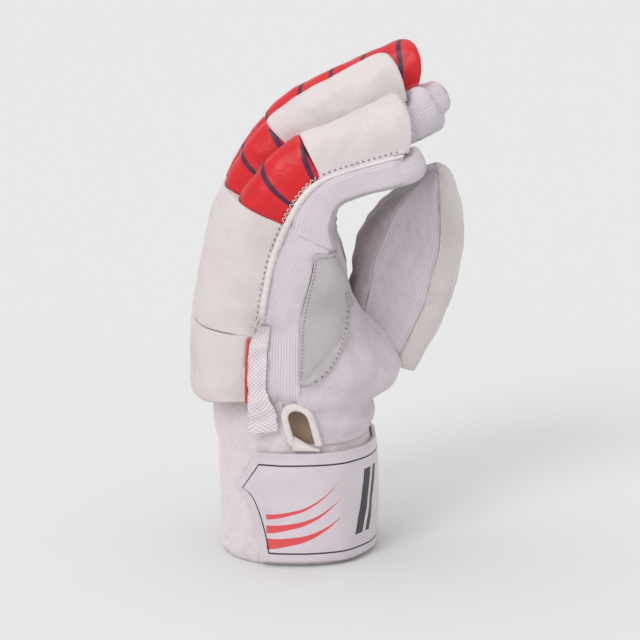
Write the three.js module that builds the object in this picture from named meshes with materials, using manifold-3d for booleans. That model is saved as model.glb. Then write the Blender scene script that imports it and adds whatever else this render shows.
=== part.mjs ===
// Cricket batting glove for the right hand, standing on its wristband.
// Millimetres, +Z up, +X to the palm side, -Y to the little finger, +Y to the thumb.
import * as THREE from 'three';
import { mergeVertices } from 'three/addons/utils/BufferGeometryUtils.js';
import Module from 'manifold-3d';

const wasm = await Module();
wasm.setup();

// Clearance between pieces that touch
const GAP = 0.3;

// Walls
const KNIT_WALL = 1.6;
const LEATHER_WALL = 1.5;
const TOWEL_WALL = 3;

// Wristband
const CUFF_HEIGHT = 57.5;
const CUFF_BACK_RISE = 21.8;
const CUFF_DEPTH = 74;
const CUFF_WIDTH = 84;
const CUFF_CENTRE_X = -1;

// Fastening strap
const STRAP_MARGIN = 3.3;
const STRAP_THICKNESS = 2;
const STRAP_RISE = 2.2;
const STRAP_HEIGHT = CUFF_HEIGHT - STRAP_RISE - STRAP_MARGIN;
const STRAP_POINT_REACH = 10;
const STRAP_POINT_HEIGHT = 34;
const STRAP_NEAR_END_X = -18;
const STRAP_FAR_END_X = -24;

// Wrist slit on the little-finger side
const SLIT_WIDTH = 9;
const SLIT_HEIGHT = 17.5;
const SLIT_X = -2;
const BINDING_WIDTH = 3.4;
const BINDING_THICKNESS = 5;
const BINDING_LEAN = 7;

// Hand
const FINGER_PITCH = 24;
const HAND_DEPTH = 67.4;
const HAND_BACK_LENGTH = 83;
const HAND_BACK_X = -19;
const SIDE_PANEL_WIDTH = 20;
const BACK_ARCH = 8;
const PAD_HEIGHT = 24;
const WRIST_PAD_LENGTH = 30;
const WRIST_PAD_LIFT = 4;

// Trim on the hand
const PATCH_THICKNESS = 1.2;
const PATCH_WIDTH = 24;
const PATCH_HEIGHT = 69;
const PATCH_SIDE_HEIGHT = 40;
const WELT_WIDTH = 3;
const WELT_THICKNESS = 1.6;
const WELT_BACK_LENGTH = 47;
const WELT_FINGER_LENGTH = 28;
const PIPING_SIZE = 1.5;
const MESH_WIDTH = 9;
const MESH_THICKNESS = 1.2;

// Fingers, the longest one's sizes
const KNUCKLE_PAD_LENGTH = 27;
const FINGER_LENGTH = 90;
const TIP_LENGTH = 10;

// Thumb
const THUMB_LENGTH = 97;
const THUMB_WIDTH = 38;
const THUMB_DEPTH = 38;
const THUMB_CENTRE_Y = 27;
const THUMB_START_DEPTH = 2.4;
const THUMB_START_Z = 84;
const THUMB_PAD_HEIGHT = 13.5;

// Worked out from the sizes above
const HAND_WIDTH = 4 * FINGER_PITCH;
const HALF_HAND = HAND_WIDTH / 2;
const HAND_START_Z = CUFF_HEIGHT + CUFF_BACK_RISE + 2 * GAP;
const SIDE_SEAM_X = HAND_BACK_X + SIDE_PANEL_WIDTH;
const WELT_START = HAND_BACK_LENGTH - WELT_BACK_LENGTH;
const FAR = 400;

// Wristband sections: at is the share of the full height, back and palm of half the depth
const CUFF_ROWS = [
  { at: 0, back: 0.95, palm: 0.95, half: 0.965 },
  { at: 0.05, back: 0.985, palm: 0.98, half: 1 },
  { at: 0.35, back: 1, palm: 1, half: 1.005 },
  { at: 0.63, back: 1.01, palm: 0.975, half: 1 },
  { at: 0.72, back: 1.05, palm: 0.93, half: 1 },
  { at: 0.82, back: 1.08, palm: 1, half: 1.035 },
  { at: 0.92, back: 1.06, palm: 0.98, half: 1.05 },
  { at: 0.97, back: 0.95, palm: 1.05, half: 1.06 },
  { at: 1, back: 0.8, palm: 1.2, half: 1.07 },
];

// Hand sections from the wristband up: depth is the palm's reach, half the width, peak the palm's
// highest place across, side where the flat side ends
const HAND_ROWS = [
  { at: 0, depth: 0.775, half: 0.875, peak: 0, side: 0.26 },
  { at: 0.08, depth: 0.82, half: 0.905, peak: 0, side: 0.26 },
  { at: 0.14, depth: 0.8, half: 0.92, peak: 0.04, side: 0.26 },
  { at: 0.2, depth: 0.95, half: 0.96, peak: 0.12, side: 0.28 },
  { at: 0.25, depth: 1, half: 0.97, peak: 0.16, side: 0.3 },
  { at: 0.31, depth: 0.98, half: 0.98, peak: 0.16, side: 0.3 },
  { at: 0.38, depth: 0.91, half: 0.98, peak: 0.14, side: 0.3 },
  { at: 0.45, depth: 0.82, half: 0.985, peak: 0.1, side: 0.3 },
  { at: 0.52, depth: 0.72, half: 0.99, peak: 0.04, side: 0.3 },
  { at: 0.6, depth: 0.63, half: 0.99, peak: 0, side: 0.3 },
  { at: 0.7, depth: 0.59, half: 1, peak: 0, side: 0.3 },
  { at: 0.82, depth: 0.635, half: 1, peak: 0, side: 0.3 },
  { at: 0.91, depth: 0.59, half: 1, peak: 0, side: 0.3 },
  { at: 1, depth: 0.54, half: 1, peak: 0, side: 0.3 },
];

// How the seam under the back pads turns from the wrist to the knuckles, in degrees
const BACK_HEADINGS = [
  { at: 0, heading: 92 },
  { at: 0.35, heading: 84 },
  { at: 0.68, heading: 79 },
  { at: 0.8, heading: 74 },
  { at: 0.9, heading: 68 },
  { at: 1, heading: 65 },
];

// How far a finger has bent, as a share of its whole bend, along its pads
const BEND_ROWS = [
  { at: 0, bend: 0 },
  { at: 0.15, bend: 0.12 },
  { at: 0.3, bend: 0.42 },
  { at: 0.42, bend: 0.78 },
  { at: 0.55, bend: 0.95 },
  { at: 1, bend: 1 },
];

// The fingers from the little one to the index one: lane counts pitches from the middle line,
// length is the pads' share of a whole finger, tip the share that the knit stands out past them,
// lift the seam's share of the arch, the heights are shares of the pads' own
const FINGERS = [
  { name: 'little', lane: -1.5, length: 0.7556, tip: 0.6, bend: 50, lift: 0, root: 1, mid: 0.9, end: 1.15, droop: 0.85 },
  { name: 'ring', lane: -0.5, length: 0.9111, tip: 1.1, bend: 38, lift: 0.94, root: 1, mid: 1, end: 1, droop: 1.1 },
  { name: 'middle', lane: 0.5, length: 1, tip: 1, bend: 39, lift: 0.94, root: 1, mid: 1, end: 1, droop: 1.1 },
  { name: 'index', lane: 1.5, length: 0.8889, tip: 0.9, bend: 42, lift: 0, root: 1, mid: 0.94, end: 1.06, droop: 1 },
];

// Depth of a finger's knitted side at its root and along it
const FINGER_ROOT_DEPTH = 23;
const FINGER_DEPTH = 17.5;

// Depth of a finger's side along it, from the root's to the finger's own
const FINGER_DEPTH_ROWS = [
  { at: 0, share: 0 },
  { at: 0.2, share: 0.5 },
  { at: 0.5, share: 1 },
  { at: 1, share: 1 },
];

// How a closed tip rounds off: at is the distance left to the end, as a share of its own length
const TIP_ROWS = [
  { at: 0, scale: 0.5 },
  { at: 0.2, scale: 0.74 },
  { at: 0.5, scale: 0.92 },
  { at: 1, scale: 1 },
];

// The thumb's seam and sections: side is where the knitted side ends, pad the pad's height
const THUMB_ROWS = [
  { at: 0, heading: 64, depth: 0.74, side: 0.66, half: 0.9, pad: 0.84 },
  { at: 0.12, heading: 66, depth: 0.86, side: 0.7, half: 0.96, pad: 0.92 },
  { at: 0.3, heading: 68, depth: 0.94, side: 0.74, half: 1, pad: 1 },
  { at: 0.5, heading: 76, depth: 1, side: 0.76, half: 1, pad: 1.02 },
  { at: 0.65, heading: 85, depth: 0.97, side: 0.72, half: 1, pad: 0.98 },
  { at: 0.8, heading: 90, depth: 0.78, side: 0.72, half: 0.94, pad: 0.86 },
  { at: 0.88, heading: 94, depth: 0.56, side: 0.72, half: 0.86, pad: 0.76 },
  { at: 0.94, heading: 100, depth: 0.38, side: 0.72, half: 0.74, pad: 0.64 },
  { at: 1, heading: 112, depth: 0.18, side: 0.72, half: 0.5, pad: 0.42 },
];

const COLOURS = {
  white: new THREE.MeshStandardMaterial({ color: 0xdcd6d2, roughness: 0.5, metalness: 0 }),
  red: new THREE.MeshStandardMaterial({ color: 0xd8202a, roughness: 0.45, metalness: 0 }),
  knit: new THREE.MeshStandardMaterial({ color: 0xd6cddb, roughness: 0.9, metalness: 0 }),
  palm: new THREE.MeshStandardMaterial({ color: 0xcfc5d3, roughness: 0.7, metalness: 0 }),
  grey: new THREE.MeshStandardMaterial({ color: 0xb9b3b6, roughness: 0.6, metalness: 0 }),
  towel: new THREE.MeshStandardMaterial({ color: 0xdad2d4, roughness: 0.95, metalness: 0 }),
  strap: new THREE.MeshStandardMaterial({ color: 0xdbd3da, roughness: 0.5, metalness: 0 }),
  binding: new THREE.MeshStandardMaterial({ color: 0xe6e0da, roughness: 0.55, metalness: 0 }),
  piping: new THREE.MeshStandardMaterial({ color: 0xe2452f, roughness: 0.5, metalness: 0 }),
};

// Slope of a column at a row, from the rows beside it
function slope(rows, key, index) {
  const before = rows[Math.max(index - 1, 0)];
  const after = rows[Math.min(index + 1, rows.length - 1)];
  return (after[key] - before[key]) / (after.at - before.at);
}

// Value of a column at a share, on a smooth curve through the rows
function column(rows, key, at) {
  const last = rows.length - 1;
  const share = THREE.MathUtils.clamp(at, rows[0].at, rows[last].at);
  let index = 1;
  while (index < last && rows[index].at < share) {
    index += 1;
  }
  const low = rows[index - 1];
  const high = rows[index];
  const span = high.at - low.at;
  const t = (share - low.at) / span;
  const rise = slope(rows, key, index - 1) * span;
  const fall = slope(rows, key, index) * span;
  const start = (2 * t ** 3 - 3 * t ** 2 + 1) * low[key] + (t ** 3 - 2 * t ** 2 + t) * rise;
  return start + (3 * t ** 2 - 2 * t ** 3) * high[key] + (t ** 3 - t ** 2) * fall;
}

// Numbers from first to last in equal steps
function spread(first, last, steps) {
  return Array.from({ length: steps + 1 }, (_, i) => first + ((last - first) * i) / steps);
}

// Volume enclosed by a mesh, negative when its faces point in
function enclosedVolume(positions, triangles) {
  let volume = 0;
  const corners = [new THREE.Vector3(), new THREE.Vector3(), new THREE.Vector3()];
  for (let i = 0; i < triangles.length; i += 3) {
    corners.forEach((corner, k) => corner.fromArray(positions, 3 * triangles[i + k]));
    volume += corners[0].dot(corners[1].cross(corners[2])) / 6;
  }
  return volume;
}

// A closed geometry as a solid that can be joined and cut
function solid(geometry) {
  const bare = new THREE.BufferGeometry();
  bare.setAttribute('position', geometry.getAttribute('position'));
  bare.setIndex(geometry.getIndex());
  const merged = mergeVertices(bare, 1e-4);
  const positions = Float32Array.from(merged.getAttribute('position').array);
  const triangles = Uint32Array.from(merged.getIndex().array);
  if (enclosedVolume(positions, triangles) < 0) {
    for (let i = 0; i < triangles.length; i += 3) {
      [triangles[i], triangles[i + 1]] = [triangles[i + 1], triangles[i]];
    }
  }
  const mesh = new wasm.Mesh({ numProp: 3, vertProperties: positions, triVerts: triangles });
  return new wasm.Manifold(mesh);
}

// The largest piece of a cut solid
function largest(body) {
  const pieces = body.decompose();
  pieces.sort((a, b) => b.volume() - a.volume());
  return pieces[0];
}

// A closed body through rings that have the same number of points
function loft(rings) {
  const count = rings[0].length;
  const positions = rings.flat().flatMap((point) => [point.x, point.y, point.z]);
  const triangles = [];
  for (let row = 0; row < rings.length - 1; row += 1) {
    for (let i = 0; i < count; i += 1) {
      const next = (i + 1) % count;
      const a = row * count + i;
      const b = row * count + next;
      triangles.push(a, b, b + count, a, b + count, a + count);
    }
  }
  const caps = [0, rings.length - 1];
  caps.forEach((row) => {
    const flat = flattened(rings[row]);
    const faces = THREE.ShapeUtils.triangulateShape(flat, []);
    faces.forEach(([a, b, c]) => {
      const base = row * count;
      triangles.push(...(row === 0 ? [base + c, base + b, base + a] : [base + a, base + b, base + c]));
    });
  });
  const geometry = new THREE.BufferGeometry();
  geometry.setAttribute('position', new THREE.Float32BufferAttribute(positions, 3));
  geometry.setIndex(triangles);
  return solid(geometry);
}

// A ring's points in its own plane, turning the same way as the ring does
function flattened(ring) {
  const centre = ring.reduce((sum, point) => sum.add(point), new THREE.Vector3());
  centre.divideScalar(ring.length);
  const normal = new THREE.Vector3();
  ring.forEach((point, i) => {
    const next = ring[(i + 1) % ring.length];
    normal.add(point.clone().sub(centre).cross(next.clone().sub(centre)));
  });
  const right = ring[0].clone().sub(centre).normalize();
  const up = normal.normalize().clone().cross(right);
  return ring.map((point) => {
    const arm = point.clone().sub(centre);
    return new THREE.Vector2(arm.dot(right), arm.dot(up));
  });
}

// A shape drawn in the side view (x, z), carried through from one y to another
function curtain(points, fromY = -FAR, toY = FAR) {
  const shape = new THREE.Shape(points);
  const geometry = new THREE.ExtrudeGeometry(shape, { depth: toY - fromY, bevelEnabled: false });
  const place = new THREE.Matrix4().set(1, 0, 0, 0, 0, 0, 1, fromY, 0, 1, 0, 0, 0, 0, 0, 1);
  geometry.applyMatrix4(place);
  return solid(geometry);
}

// Everything past a line of the side view, in the direction given
function beyond(point, direction, clearance) {
  const across = new THREE.Vector2(-direction.y, direction.x);
  const edge = point.clone().addScaledVector(direction, clearance);
  return curtain([
    edge.clone().addScaledVector(across, -FAR),
    edge.clone().addScaledVector(across, -FAR).addScaledVector(direction, FAR),
    edge.clone().addScaledVector(across, FAR).addScaledVector(direction, FAR),
    edge.clone().addScaledVector(across, FAR),
  ]);
}

// A line of the side view that follows headings, read by the distance along it
function bentLine(start, length, rows) {
  const steps = 160;
  const points = [start.clone()];
  const headings = [];
  for (let i = 0; i <= steps; i += 1) {
    headings.push(THREE.MathUtils.degToRad(column(rows, 'heading', i / steps)));
  }
  for (let i = 0; i < steps; i += 1) {
    const heading = (headings[i] + headings[i + 1]) / 2;
    const stride = new THREE.Vector2(Math.cos(heading), Math.sin(heading));
    points.push(points[i].clone().addScaledVector(stride, length / steps));
  }
  return (distance) => {
    const inside = THREE.MathUtils.clamp(distance, 0, length);
    const index = Math.min(Math.floor((inside / length) * steps), steps - 1);
    const t = (inside / length) * steps - index;
    const heading = THREE.MathUtils.lerp(headings[index], headings[index + 1], t);
    const along = new THREE.Vector2(Math.cos(heading), Math.sin(heading));
    const point = points[index].clone().lerp(points[index + 1], t);
    point.addScaledVector(along, distance - inside);
    return { point, along, out: new THREE.Vector2(-along.y, along.x) };
  };
}

// A point of the side view, moved out from its line and placed across the hand
function placed(spot, out, y) {
  const moved = spot.point.clone().addScaledVector(spot.out, out);
  return new THREE.Vector3(moved.x, y, moved.y);
}

// Quarter of a rounded corner: pairs of cosine and sine shares, from the side to the crown
function cornerShares(power, steps) {
  return spread(0, Math.PI / 2, steps).map((angle) => ({
    side: Math.max(Math.cos(angle), 0) ** (2 / power),
    crown: Math.sin(angle) ** (2 / power),
  }));
}

// Section of a sleeve that is open on one side: flat sides, then a rounded floor. The points are
// pairs of across and down from the open edge.
function sleeveSection({ half, side, depth, peak }, inset, mouth) {
  const edge = half - inset;
  const floor = depth - inset;
  const straight = Math.min(side, floor * 0.8);
  const quarter = cornerShares(2.5, 4);
  const near = quarter.map(({ side: a, crown: b }) => [
    peak - (peak + edge) * a,
    straight + (floor - straight) * b,
  ]);
  const far = quarter.slice(0, -1).reverse().map(({ side: a, crown: b }) => [
    peak + (edge - peak) * a,
    straight + (floor - straight) * b,
  ]);
  return [[-edge, -mouth], ...near, ...far, [edge, -mouth]];
}

// Section of a padded roll or block: a low arch below and a crowned top. The points are pairs of
// across and out.
function padSection({ half, base, arch, height, crown }) {
  const top = cornerShares(crown, 4);
  const rise = top.map(({ side: a, crown: b }) => [-half * a, base + (height - base) * b]);
  const fall = top.slice(0, -1).reverse().map(({ side: a, crown: b }) => [half * a, base + (height - base) * b]);
  const steps = arch > 0 ? 6 : 1;
  const below = spread(half, -half, steps).slice(1, -1).map((y) => [y, base + arch * (1 - (y / half) ** 2)]);
  return [...rise, ...fall, ...below];
}

// The wristband's ring at a height, grown outwards by a clearance
function cuffRing(z, grow) {
  const at = z / (CUFF_HEIGHT + CUFF_BACK_RISE);
  const back = (column(CUFF_ROWS, 'back', at) * CUFF_DEPTH) / 2 + grow;
  const palm = (column(CUFF_ROWS, 'palm', at) * CUFF_DEPTH) / 2 + grow;
  const half = (column(CUFF_ROWS, 'half', at) * CUFF_WIDTH) / 2 + grow;
  return spread(0, 2 * Math.PI, 32).slice(0, -1).map((angle) => {
    const round = 2 / 2.3;
    const x = Math.sign(Math.cos(angle)) * Math.abs(Math.cos(angle)) ** round;
    const y = Math.sign(Math.sin(angle)) * Math.abs(Math.sin(angle)) ** round;
    return new THREE.Vector3(CUFF_CENTRE_X + x * (x > 0 ? palm : back), y * half, z);
  });
}

const backLine = bentLine(
  new THREE.Vector2(HAND_BACK_X, HAND_START_Z),
  HAND_BACK_LENGTH,
  BACK_HEADINGS,
);
const knuckle = backLine(HAND_BACK_LENGTH);
const HAND_TOP_Z = knuckle.point.y + 5;

// Where the hand's side seam lies at a height
function seamX(z) {
  let low = -60;
  let high = HAND_BACK_LENGTH + 20;
  for (let i = 0; i < 40; i += 1) {
    const middle = (low + high) / 2;
    if (backLine(middle).point.y < z) {
      low = middle;
    } else {
      high = middle;
    }
  }
  return backLine(low).point.x;
}

// The hand's ring at a height: inset moves the walls in, mouth opens the back
function handRing(z, inset, mouth) {
  const at = (z - CUFF_HEIGHT) / (HAND_TOP_Z - CUFF_HEIGHT);
  const open = seamX(z);
  const section = {
    half: column(HAND_ROWS, 'half', at) * HALF_HAND,
    side: SIDE_PANEL_WIDTH * (column(HAND_ROWS, 'side', at) / 0.3) + HAND_BACK_X - open,
    depth: column(HAND_ROWS, 'depth', at) * HAND_DEPTH + HAND_BACK_X - open,
    peak: column(HAND_ROWS, 'peak', at) * HALF_HAND,
  };
  return sleeveSection(section, inset, mouth).map(([y, down]) => new THREE.Vector3(open + down, y, z));
}

const handHeights = HAND_ROWS.map((row) => THREE.MathUtils.lerp(CUFF_HEIGHT + GAP, HAND_TOP_Z, row.at));

// The hand's whole body, or its hollow when inset by a wall
function handBody(inset, mouth) {
  const rings = handHeights.map((z) => handRing(z, inset, mouth));
  if (inset > 0) {
    const rise = new THREE.Vector3(0, 0, 1);
    rings.unshift(rings[0].map((point) => point.clone().sub(rise)));
    rings.push(rings[rings.length - 1].map((point) => point.clone().add(rise)));
  }
  return loft(rings);
}

// The thumb's seam line starts in the heel and climbs to the tip
const thumbLine = bentLine(
  new THREE.Vector2(HAND_BACK_X + HAND_DEPTH - THUMB_START_DEPTH, THUMB_START_Z),
  THUMB_LENGTH,
  THUMB_ROWS,
);

// One ring of the thumb's sleeve, at a distance along its seam
function thumbRing(distance, inset, mouth) {
  const at = distance / THUMB_LENGTH;
  const depth = column(THUMB_ROWS, 'depth', at) * THUMB_DEPTH;
  const section = {
    half: (column(THUMB_ROWS, 'half', at) * THUMB_WIDTH) / 2,
    side: column(THUMB_ROWS, 'side', at) * depth,
    depth,
    peak: 0,
  };
  const spot = thumbLine(distance - (inset > 0 ? inset * at : 0));
  return sleeveSection(section, inset, mouth).map(([y, down]) => placed(spot, down, THUMB_CENTRE_Y + y));
}

const thumbDistances = THUMB_ROWS.map((row) => row.at * THUMB_LENGTH);

// The thumb's whole body, or its hollow when inset by a wall
function thumbBody(inset, mouth) {
  return loft(thumbDistances.map((distance) => thumbRing(distance, inset, mouth)));
}

// A finger's own seam line, depths and pad heights, worked out from its row
function fingerPlan(finger) {
  const lift = finger.lift * BACK_ARCH;
  const start = knuckle.point.clone().addScaledVector(knuckle.out, lift);
  const turn = THREE.MathUtils.radToDeg(knuckle.along.angle());
  const length = finger.length * FINGER_LENGTH;
  const tip = finger.tip * TIP_LENGTH;
  const whole = length + tip;
  const rows = BEND_ROWS.map((row) => ({
    at: (row.at * length) / whole,
    heading: turn - row.bend * finger.bend,
  }));
  rows.push({ at: 1, heading: turn - finger.bend });
  return {
    ...finger,
    length,
    tip,
    lift,
    whole,
    y: finger.lane * FINGER_PITCH,
    half: FINGER_PITCH / 2 - GAP,
    line: bentLine(start, whole, rows),
    rootDepth: FINGER_ROOT_DEPTH + lift,
    ownDepth: FINGER_DEPTH * finger.droop,
  };
}

const fingers = FINGERS.map(fingerPlan);

// Stations shared by a finger's pads and its sleeve, so that their faces run side by side
function fingerStations(plan) {
  return [
    ...spread(0, KNUCKLE_PAD_LENGTH, 5),
    ...spread(KNUCKLE_PAD_LENGTH, plan.length, 5).slice(1),
  ];
}

// Depth of a finger's sleeve at a distance
function fingerDepth(plan, distance) {
  const share = column(FINGER_DEPTH_ROWS, 'share', distance / plan.length);
  return THREE.MathUtils.lerp(plan.rootDepth, plan.ownDepth, share);
}

// One ring of a finger's sleeve: the tip is narrower and less deep
function fingerRing(plan, distance, inset, mouth) {
  const tipLength = plan.tip + plan.half;
  const scale = column(TIP_ROWS, 'scale', (plan.whole - distance) / tipLength);
  const depth = fingerDepth(plan, distance);
  const section = {
    half: plan.half * scale,
    side: depth - 5,
    depth,
    peak: 0,
  };
  const shrink = (1 - scale) * depth * 0.5;
  const spot = plan.line(distance - (inset * distance) / plan.whole);
  const points = sleeveSection({ ...section, depth: depth - shrink, side: depth - shrink - 5 }, inset, mouth);
  return points.map(([y, down]) => placed(spot, -down, plan.y + y));
}

// A finger's whole sleeve, or its hollow when inset by a wall. Past the pads the hollow is closed
// over, because there the knit goes all the way round.
function fingerBody(plan, inset, mouth) {
  const tip = spread(plan.length, plan.whole, 3).slice(1);
  const distances = [-4, ...fingerStations(plan), ...tip];
  const rings = distances.map((distance) => {
    const over = inset > 0 && distance > plan.length - 1 ? -inset : mouth;
    return fingerRing(plan, distance, inset, over);
  });
  if (inset > 0) {
    rings.unshift(fingerRing(plan, -6, inset, mouth));
  }
  return loft(rings);
}

// A finger's padded roll between two distances, square at the knuckle and rounded at its end
function fingerRoll(plan, from, to, rounded) {
  const inner = fingerStations(plan).filter((distance) => distance > from + 1 && distance < to - 1);
  const distances = [from, ...inner, to];
  const rows = [
    { at: 0, height: plan.root },
    { at: 0.35, height: plan.mid },
    { at: 0.6, height: plan.mid },
    { at: 1, height: plan.end },
  ];
  const soft = [
    { at: 0, scale: 0.8 },
    { at: 0.4, scale: 0.94 },
    { at: 1, scale: 1 },
  ];
  if (rounded) {
    distances.splice(-1, 0, to - 5, to - 2);
  }
  return loft(distances.map((distance) => {
    const end = rounded ? column(soft, 'scale', (to - distance) / 5) : 1;
    const section = padSection({
      half: (FINGER_PITCH / 2 - GAP / 2) * (0.5 + 0.5 * end),
      base: GAP,
      arch: 0,
      height: PAD_HEIGHT * column(rows, 'height', distance / plan.length) * end,
      crown: 2.9,
    });
    return section.map(([y, out]) => placed(plan.line(distance), out, plan.y + y));
  }));
}

// A block on the back of the hand between two distances, its edges dipped by a share
function backBlock(from, to, base, half, dips) {
  const distances = [from, from + 3, ...spread(from + 3, to - 3, 4).slice(1, -1), to - 3, to];
  return loft(distances.map((distance, i) => {
    const dip = i === 0 ? dips[0] : i === distances.length - 1 ? dips[1] : 1;
    const section = padSection({
      half: half * (0.7 + 0.3 * dip),
      base,
      arch: BACK_ARCH - (base - GAP),
      height: (BACK_ARCH + PAD_HEIGHT) * dip,
      crown: 3,
    });
    return section.map(([y, out]) => placed(backLine(distance), out, y));
  }));
}

// A strip laid along a line of the side view, on the little-finger side
function sideStrip(line, from, to, steps, low, high, y, thickness) {
  return loft(spread(from, to, steps).map((distance) => {
    const spot = line(distance);
    return [
      placed(spot, low, y),
      placed(spot, high, y),
      placed(spot, high, y - thickness),
      placed(spot, low, y - thickness),
    ];
  }));
}

// A solid as a named mesh
function piece(name, body, material) {
  const { vertProperties, triVerts } = body.getMesh();
  const geometry = new THREE.BufferGeometry();
  geometry.setAttribute('position', new THREE.Float32BufferAttribute(vertProperties, 3));
  geometry.setIndex(Array.from(triVerts));
  geometry.computeVertexNormals();
  const mesh = new THREE.Mesh(geometry, material);
  mesh.name = name;
  return mesh;
}

const glove = new THREE.Group();

function add(name, body, material) {
  glove.add(piece(name, largest(body), material));
}

// The slit's outline in the side view, grown by a margin
function slitOutline(margin) {
  const half = SLIT_WIDTH / 2 + margin;
  const bottom = CUFF_HEIGHT - margin;
  const shoulder = CUFF_HEIGHT + SLIT_HEIGHT - SLIT_WIDTH / 2;
  const arc = spread(0, Math.PI, 8).map((angle) => (
    new THREE.Vector2(SLIT_X + half * Math.cos(angle), shoulder + half * Math.sin(angle))
  ));
  return [new THREE.Vector2(SLIT_X - half, bottom), new THREE.Vector2(SLIT_X + half, bottom), ...arc];
}

const aboveKnuckles = beyond(knuckle.point, knuckle.along, GAP);
const belowKnuckles = beyond(knuckle.point, knuckle.along.clone().negate(), 0);
const slitRoom = curtain(slitOutline(BINDING_WIDTH + 3 * GAP), -FAR, 0);
const palmLow = CUFF_HEIGHT;
const palmStep = HAND_START_Z;

// Side view of what belongs to the palm: right of the slit below, right of the side seam above
const palmRegion = curtain([
  new THREE.Vector2(SLIT_X + GAP, palmLow - 1),
  new THREE.Vector2(FAR, palmLow - 1),
  new THREE.Vector2(FAR, FAR),
  new THREE.Vector2(SIDE_SEAM_X + GAP, FAR),
  new THREE.Vector2(SIDE_SEAM_X + GAP, palmStep),
  new THREE.Vector2(SLIT_X + GAP, palmStep),
]);
const sideRegion = curtain([
  new THREE.Vector2(-FAR, palmStep),
  new THREE.Vector2(SIDE_SEAM_X, palmStep),
  new THREE.Vector2(SIDE_SEAM_X, FAR),
  new THREE.Vector2(-FAR, FAR),
]);

function buildCuff() {
  const full = CUFF_HEIGHT + CUFF_BACK_RISE;
  const heights = CUFF_ROWS.map((row) => row.at * full);
  const outer = loft(heights.map((z) => cuffRing(z, 0)));
  const inner = loft([-1, ...heights.slice(1, -1), full + 1].map((z, i) => {
    const ring = cuffRing(THREE.MathUtils.clamp(z, i === 0 ? heights[1] : 0, full), -TOWEL_WALL);
    return ring.map((point) => new THREE.Vector3(point.x, point.y, z));
  }));
  const palmSide = curtain([
    new THREE.Vector2(SLIT_X, CUFF_HEIGHT),
    new THREE.Vector2(FAR, CUFF_HEIGHT),
    new THREE.Vector2(FAR, FAR),
    new THREE.Vector2(SLIT_X, FAR),
  ]);
  add('cuff', outer.subtract(inner).subtract(palmSide).subtract(slitRoom), COLOURS.towel);
}

function buildStrap() {
  const full = CUFF_HEIGHT + CUFF_BACK_RISE;
  const between = CUFF_ROWS.map((row) => row.at * full)
    .filter((z) => z > STRAP_RISE + 1 && z < STRAP_RISE + STRAP_HEIGHT - 1);
  const heights = [STRAP_RISE, ...between, STRAP_RISE + STRAP_HEIGHT];
  const outer = loft(heights.map((z) => cuffRing(z, GAP + STRAP_THICKNESS)));
  const inner = loft(heights.map((z, i) => {
    const past = i === 0 ? -1 : i === heights.length - 1 ? 1 : 0;
    return cuffRing(z, GAP).map((point) => new THREE.Vector3(point.x, point.y, z + past));
  }));
  const top = STRAP_RISE + STRAP_HEIGHT;
  const point = STRAP_RISE + STRAP_POINT_HEIGHT;
  const tip = STRAP_NEAR_END_X - STRAP_POINT_REACH;
  const concave = spread(0, Math.PI / 2, 6).map((angle) => new THREE.Vector2(
    tip + (STRAP_POINT_REACH + 1) * Math.sin(angle),
    STRAP_RISE + STRAP_POINT_HEIGHT * Math.cos(angle) ** 1.4,
  ));
  const nearEnd = curtain([
    new THREE.Vector2(-FAR, STRAP_RISE - 2),
    new THREE.Vector2(STRAP_NEAR_END_X + 1, STRAP_RISE - 2),
    ...concave.reverse(),
    new THREE.Vector2(tip, point),
    new THREE.Vector2(STRAP_NEAR_END_X, top + 2),
    new THREE.Vector2(-FAR, top + 2),
  ], -FAR, 0);
  const farEnd = curtain([
    new THREE.Vector2(-FAR, STRAP_RISE - 2),
    new THREE.Vector2(STRAP_FAR_END_X, STRAP_RISE - 2),
    new THREE.Vector2(STRAP_FAR_END_X, top + 2),
    new THREE.Vector2(-FAR, top + 2),
  ], -1, FAR);
  add('wrist_strap', outer.subtract(inner).subtract(nearEnd).subtract(farEnd), COLOURS.strap);
}

function buildSlitBinding() {
  const [leftFoot, rightFoot, ...outerArc] = slitOutline(BINDING_WIDTH);
  const [innerLeft, innerRight, ...innerArc] = slitOutline(0);
  const down = new THREE.Vector2(0, -BINDING_WIDTH);
  const band = new THREE.Shape([
    leftFoot,
    innerLeft.add(down),
    ...innerArc.reverse(),
    innerRight.add(down),
    rightFoot,
    ...outerArc,
  ]);
  const geometry = new THREE.ExtrudeGeometry(band, { depth: BINDING_THICKNESS, bevelEnabled: false });
  geometry.rotateX(Math.PI / 2);
  geometry.translate(0, BINDING_THICKNESS, -CUFF_HEIGHT);
  geometry.rotateX(THREE.MathUtils.degToRad(BINDING_LEAN));
  geometry.translate(0, -CUFF_WIDTH / 2 - 1, CUFF_HEIGHT);
  const aboveCuff = beyond(new THREE.Vector2(0, CUFF_HEIGHT), new THREE.Vector2(0, 1), GAP);
  add('slit_binding', solid(geometry).intersect(aboveCuff), COLOURS.binding);
}

const thumbCore = thumbBody(KNIT_WALL, -KNIT_WALL);

function buildHand() {
  const outer = handBody(0, 0);
  const leather = outer.subtract(handBody(LEATHER_WALL, 8)).intersect(belowKnuckles);
  const knit = outer.subtract(handBody(KNIT_WALL, 8)).intersect(belowKnuckles);
  const palm = leather.intersect(palmRegion).subtract(slitRoom).subtract(thumbCore);
  add('palm_leather', palm, COLOURS.palm);
  const sides = knit.intersect(sideRegion).subtract(slitRoom);
  const nearHalf = curtain([
    new THREE.Vector2(-FAR, -FAR),
    new THREE.Vector2(FAR, -FAR),
    new THREE.Vector2(FAR, FAR),
    new THREE.Vector2(-FAR, FAR),
  ], -FAR, 0);
  add('little_side_gusset', sides.intersect(nearHalf), COLOURS.knit);
  add('thumb_side_gusset', sides.subtract(nearHalf), COLOURS.knit);
}

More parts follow.
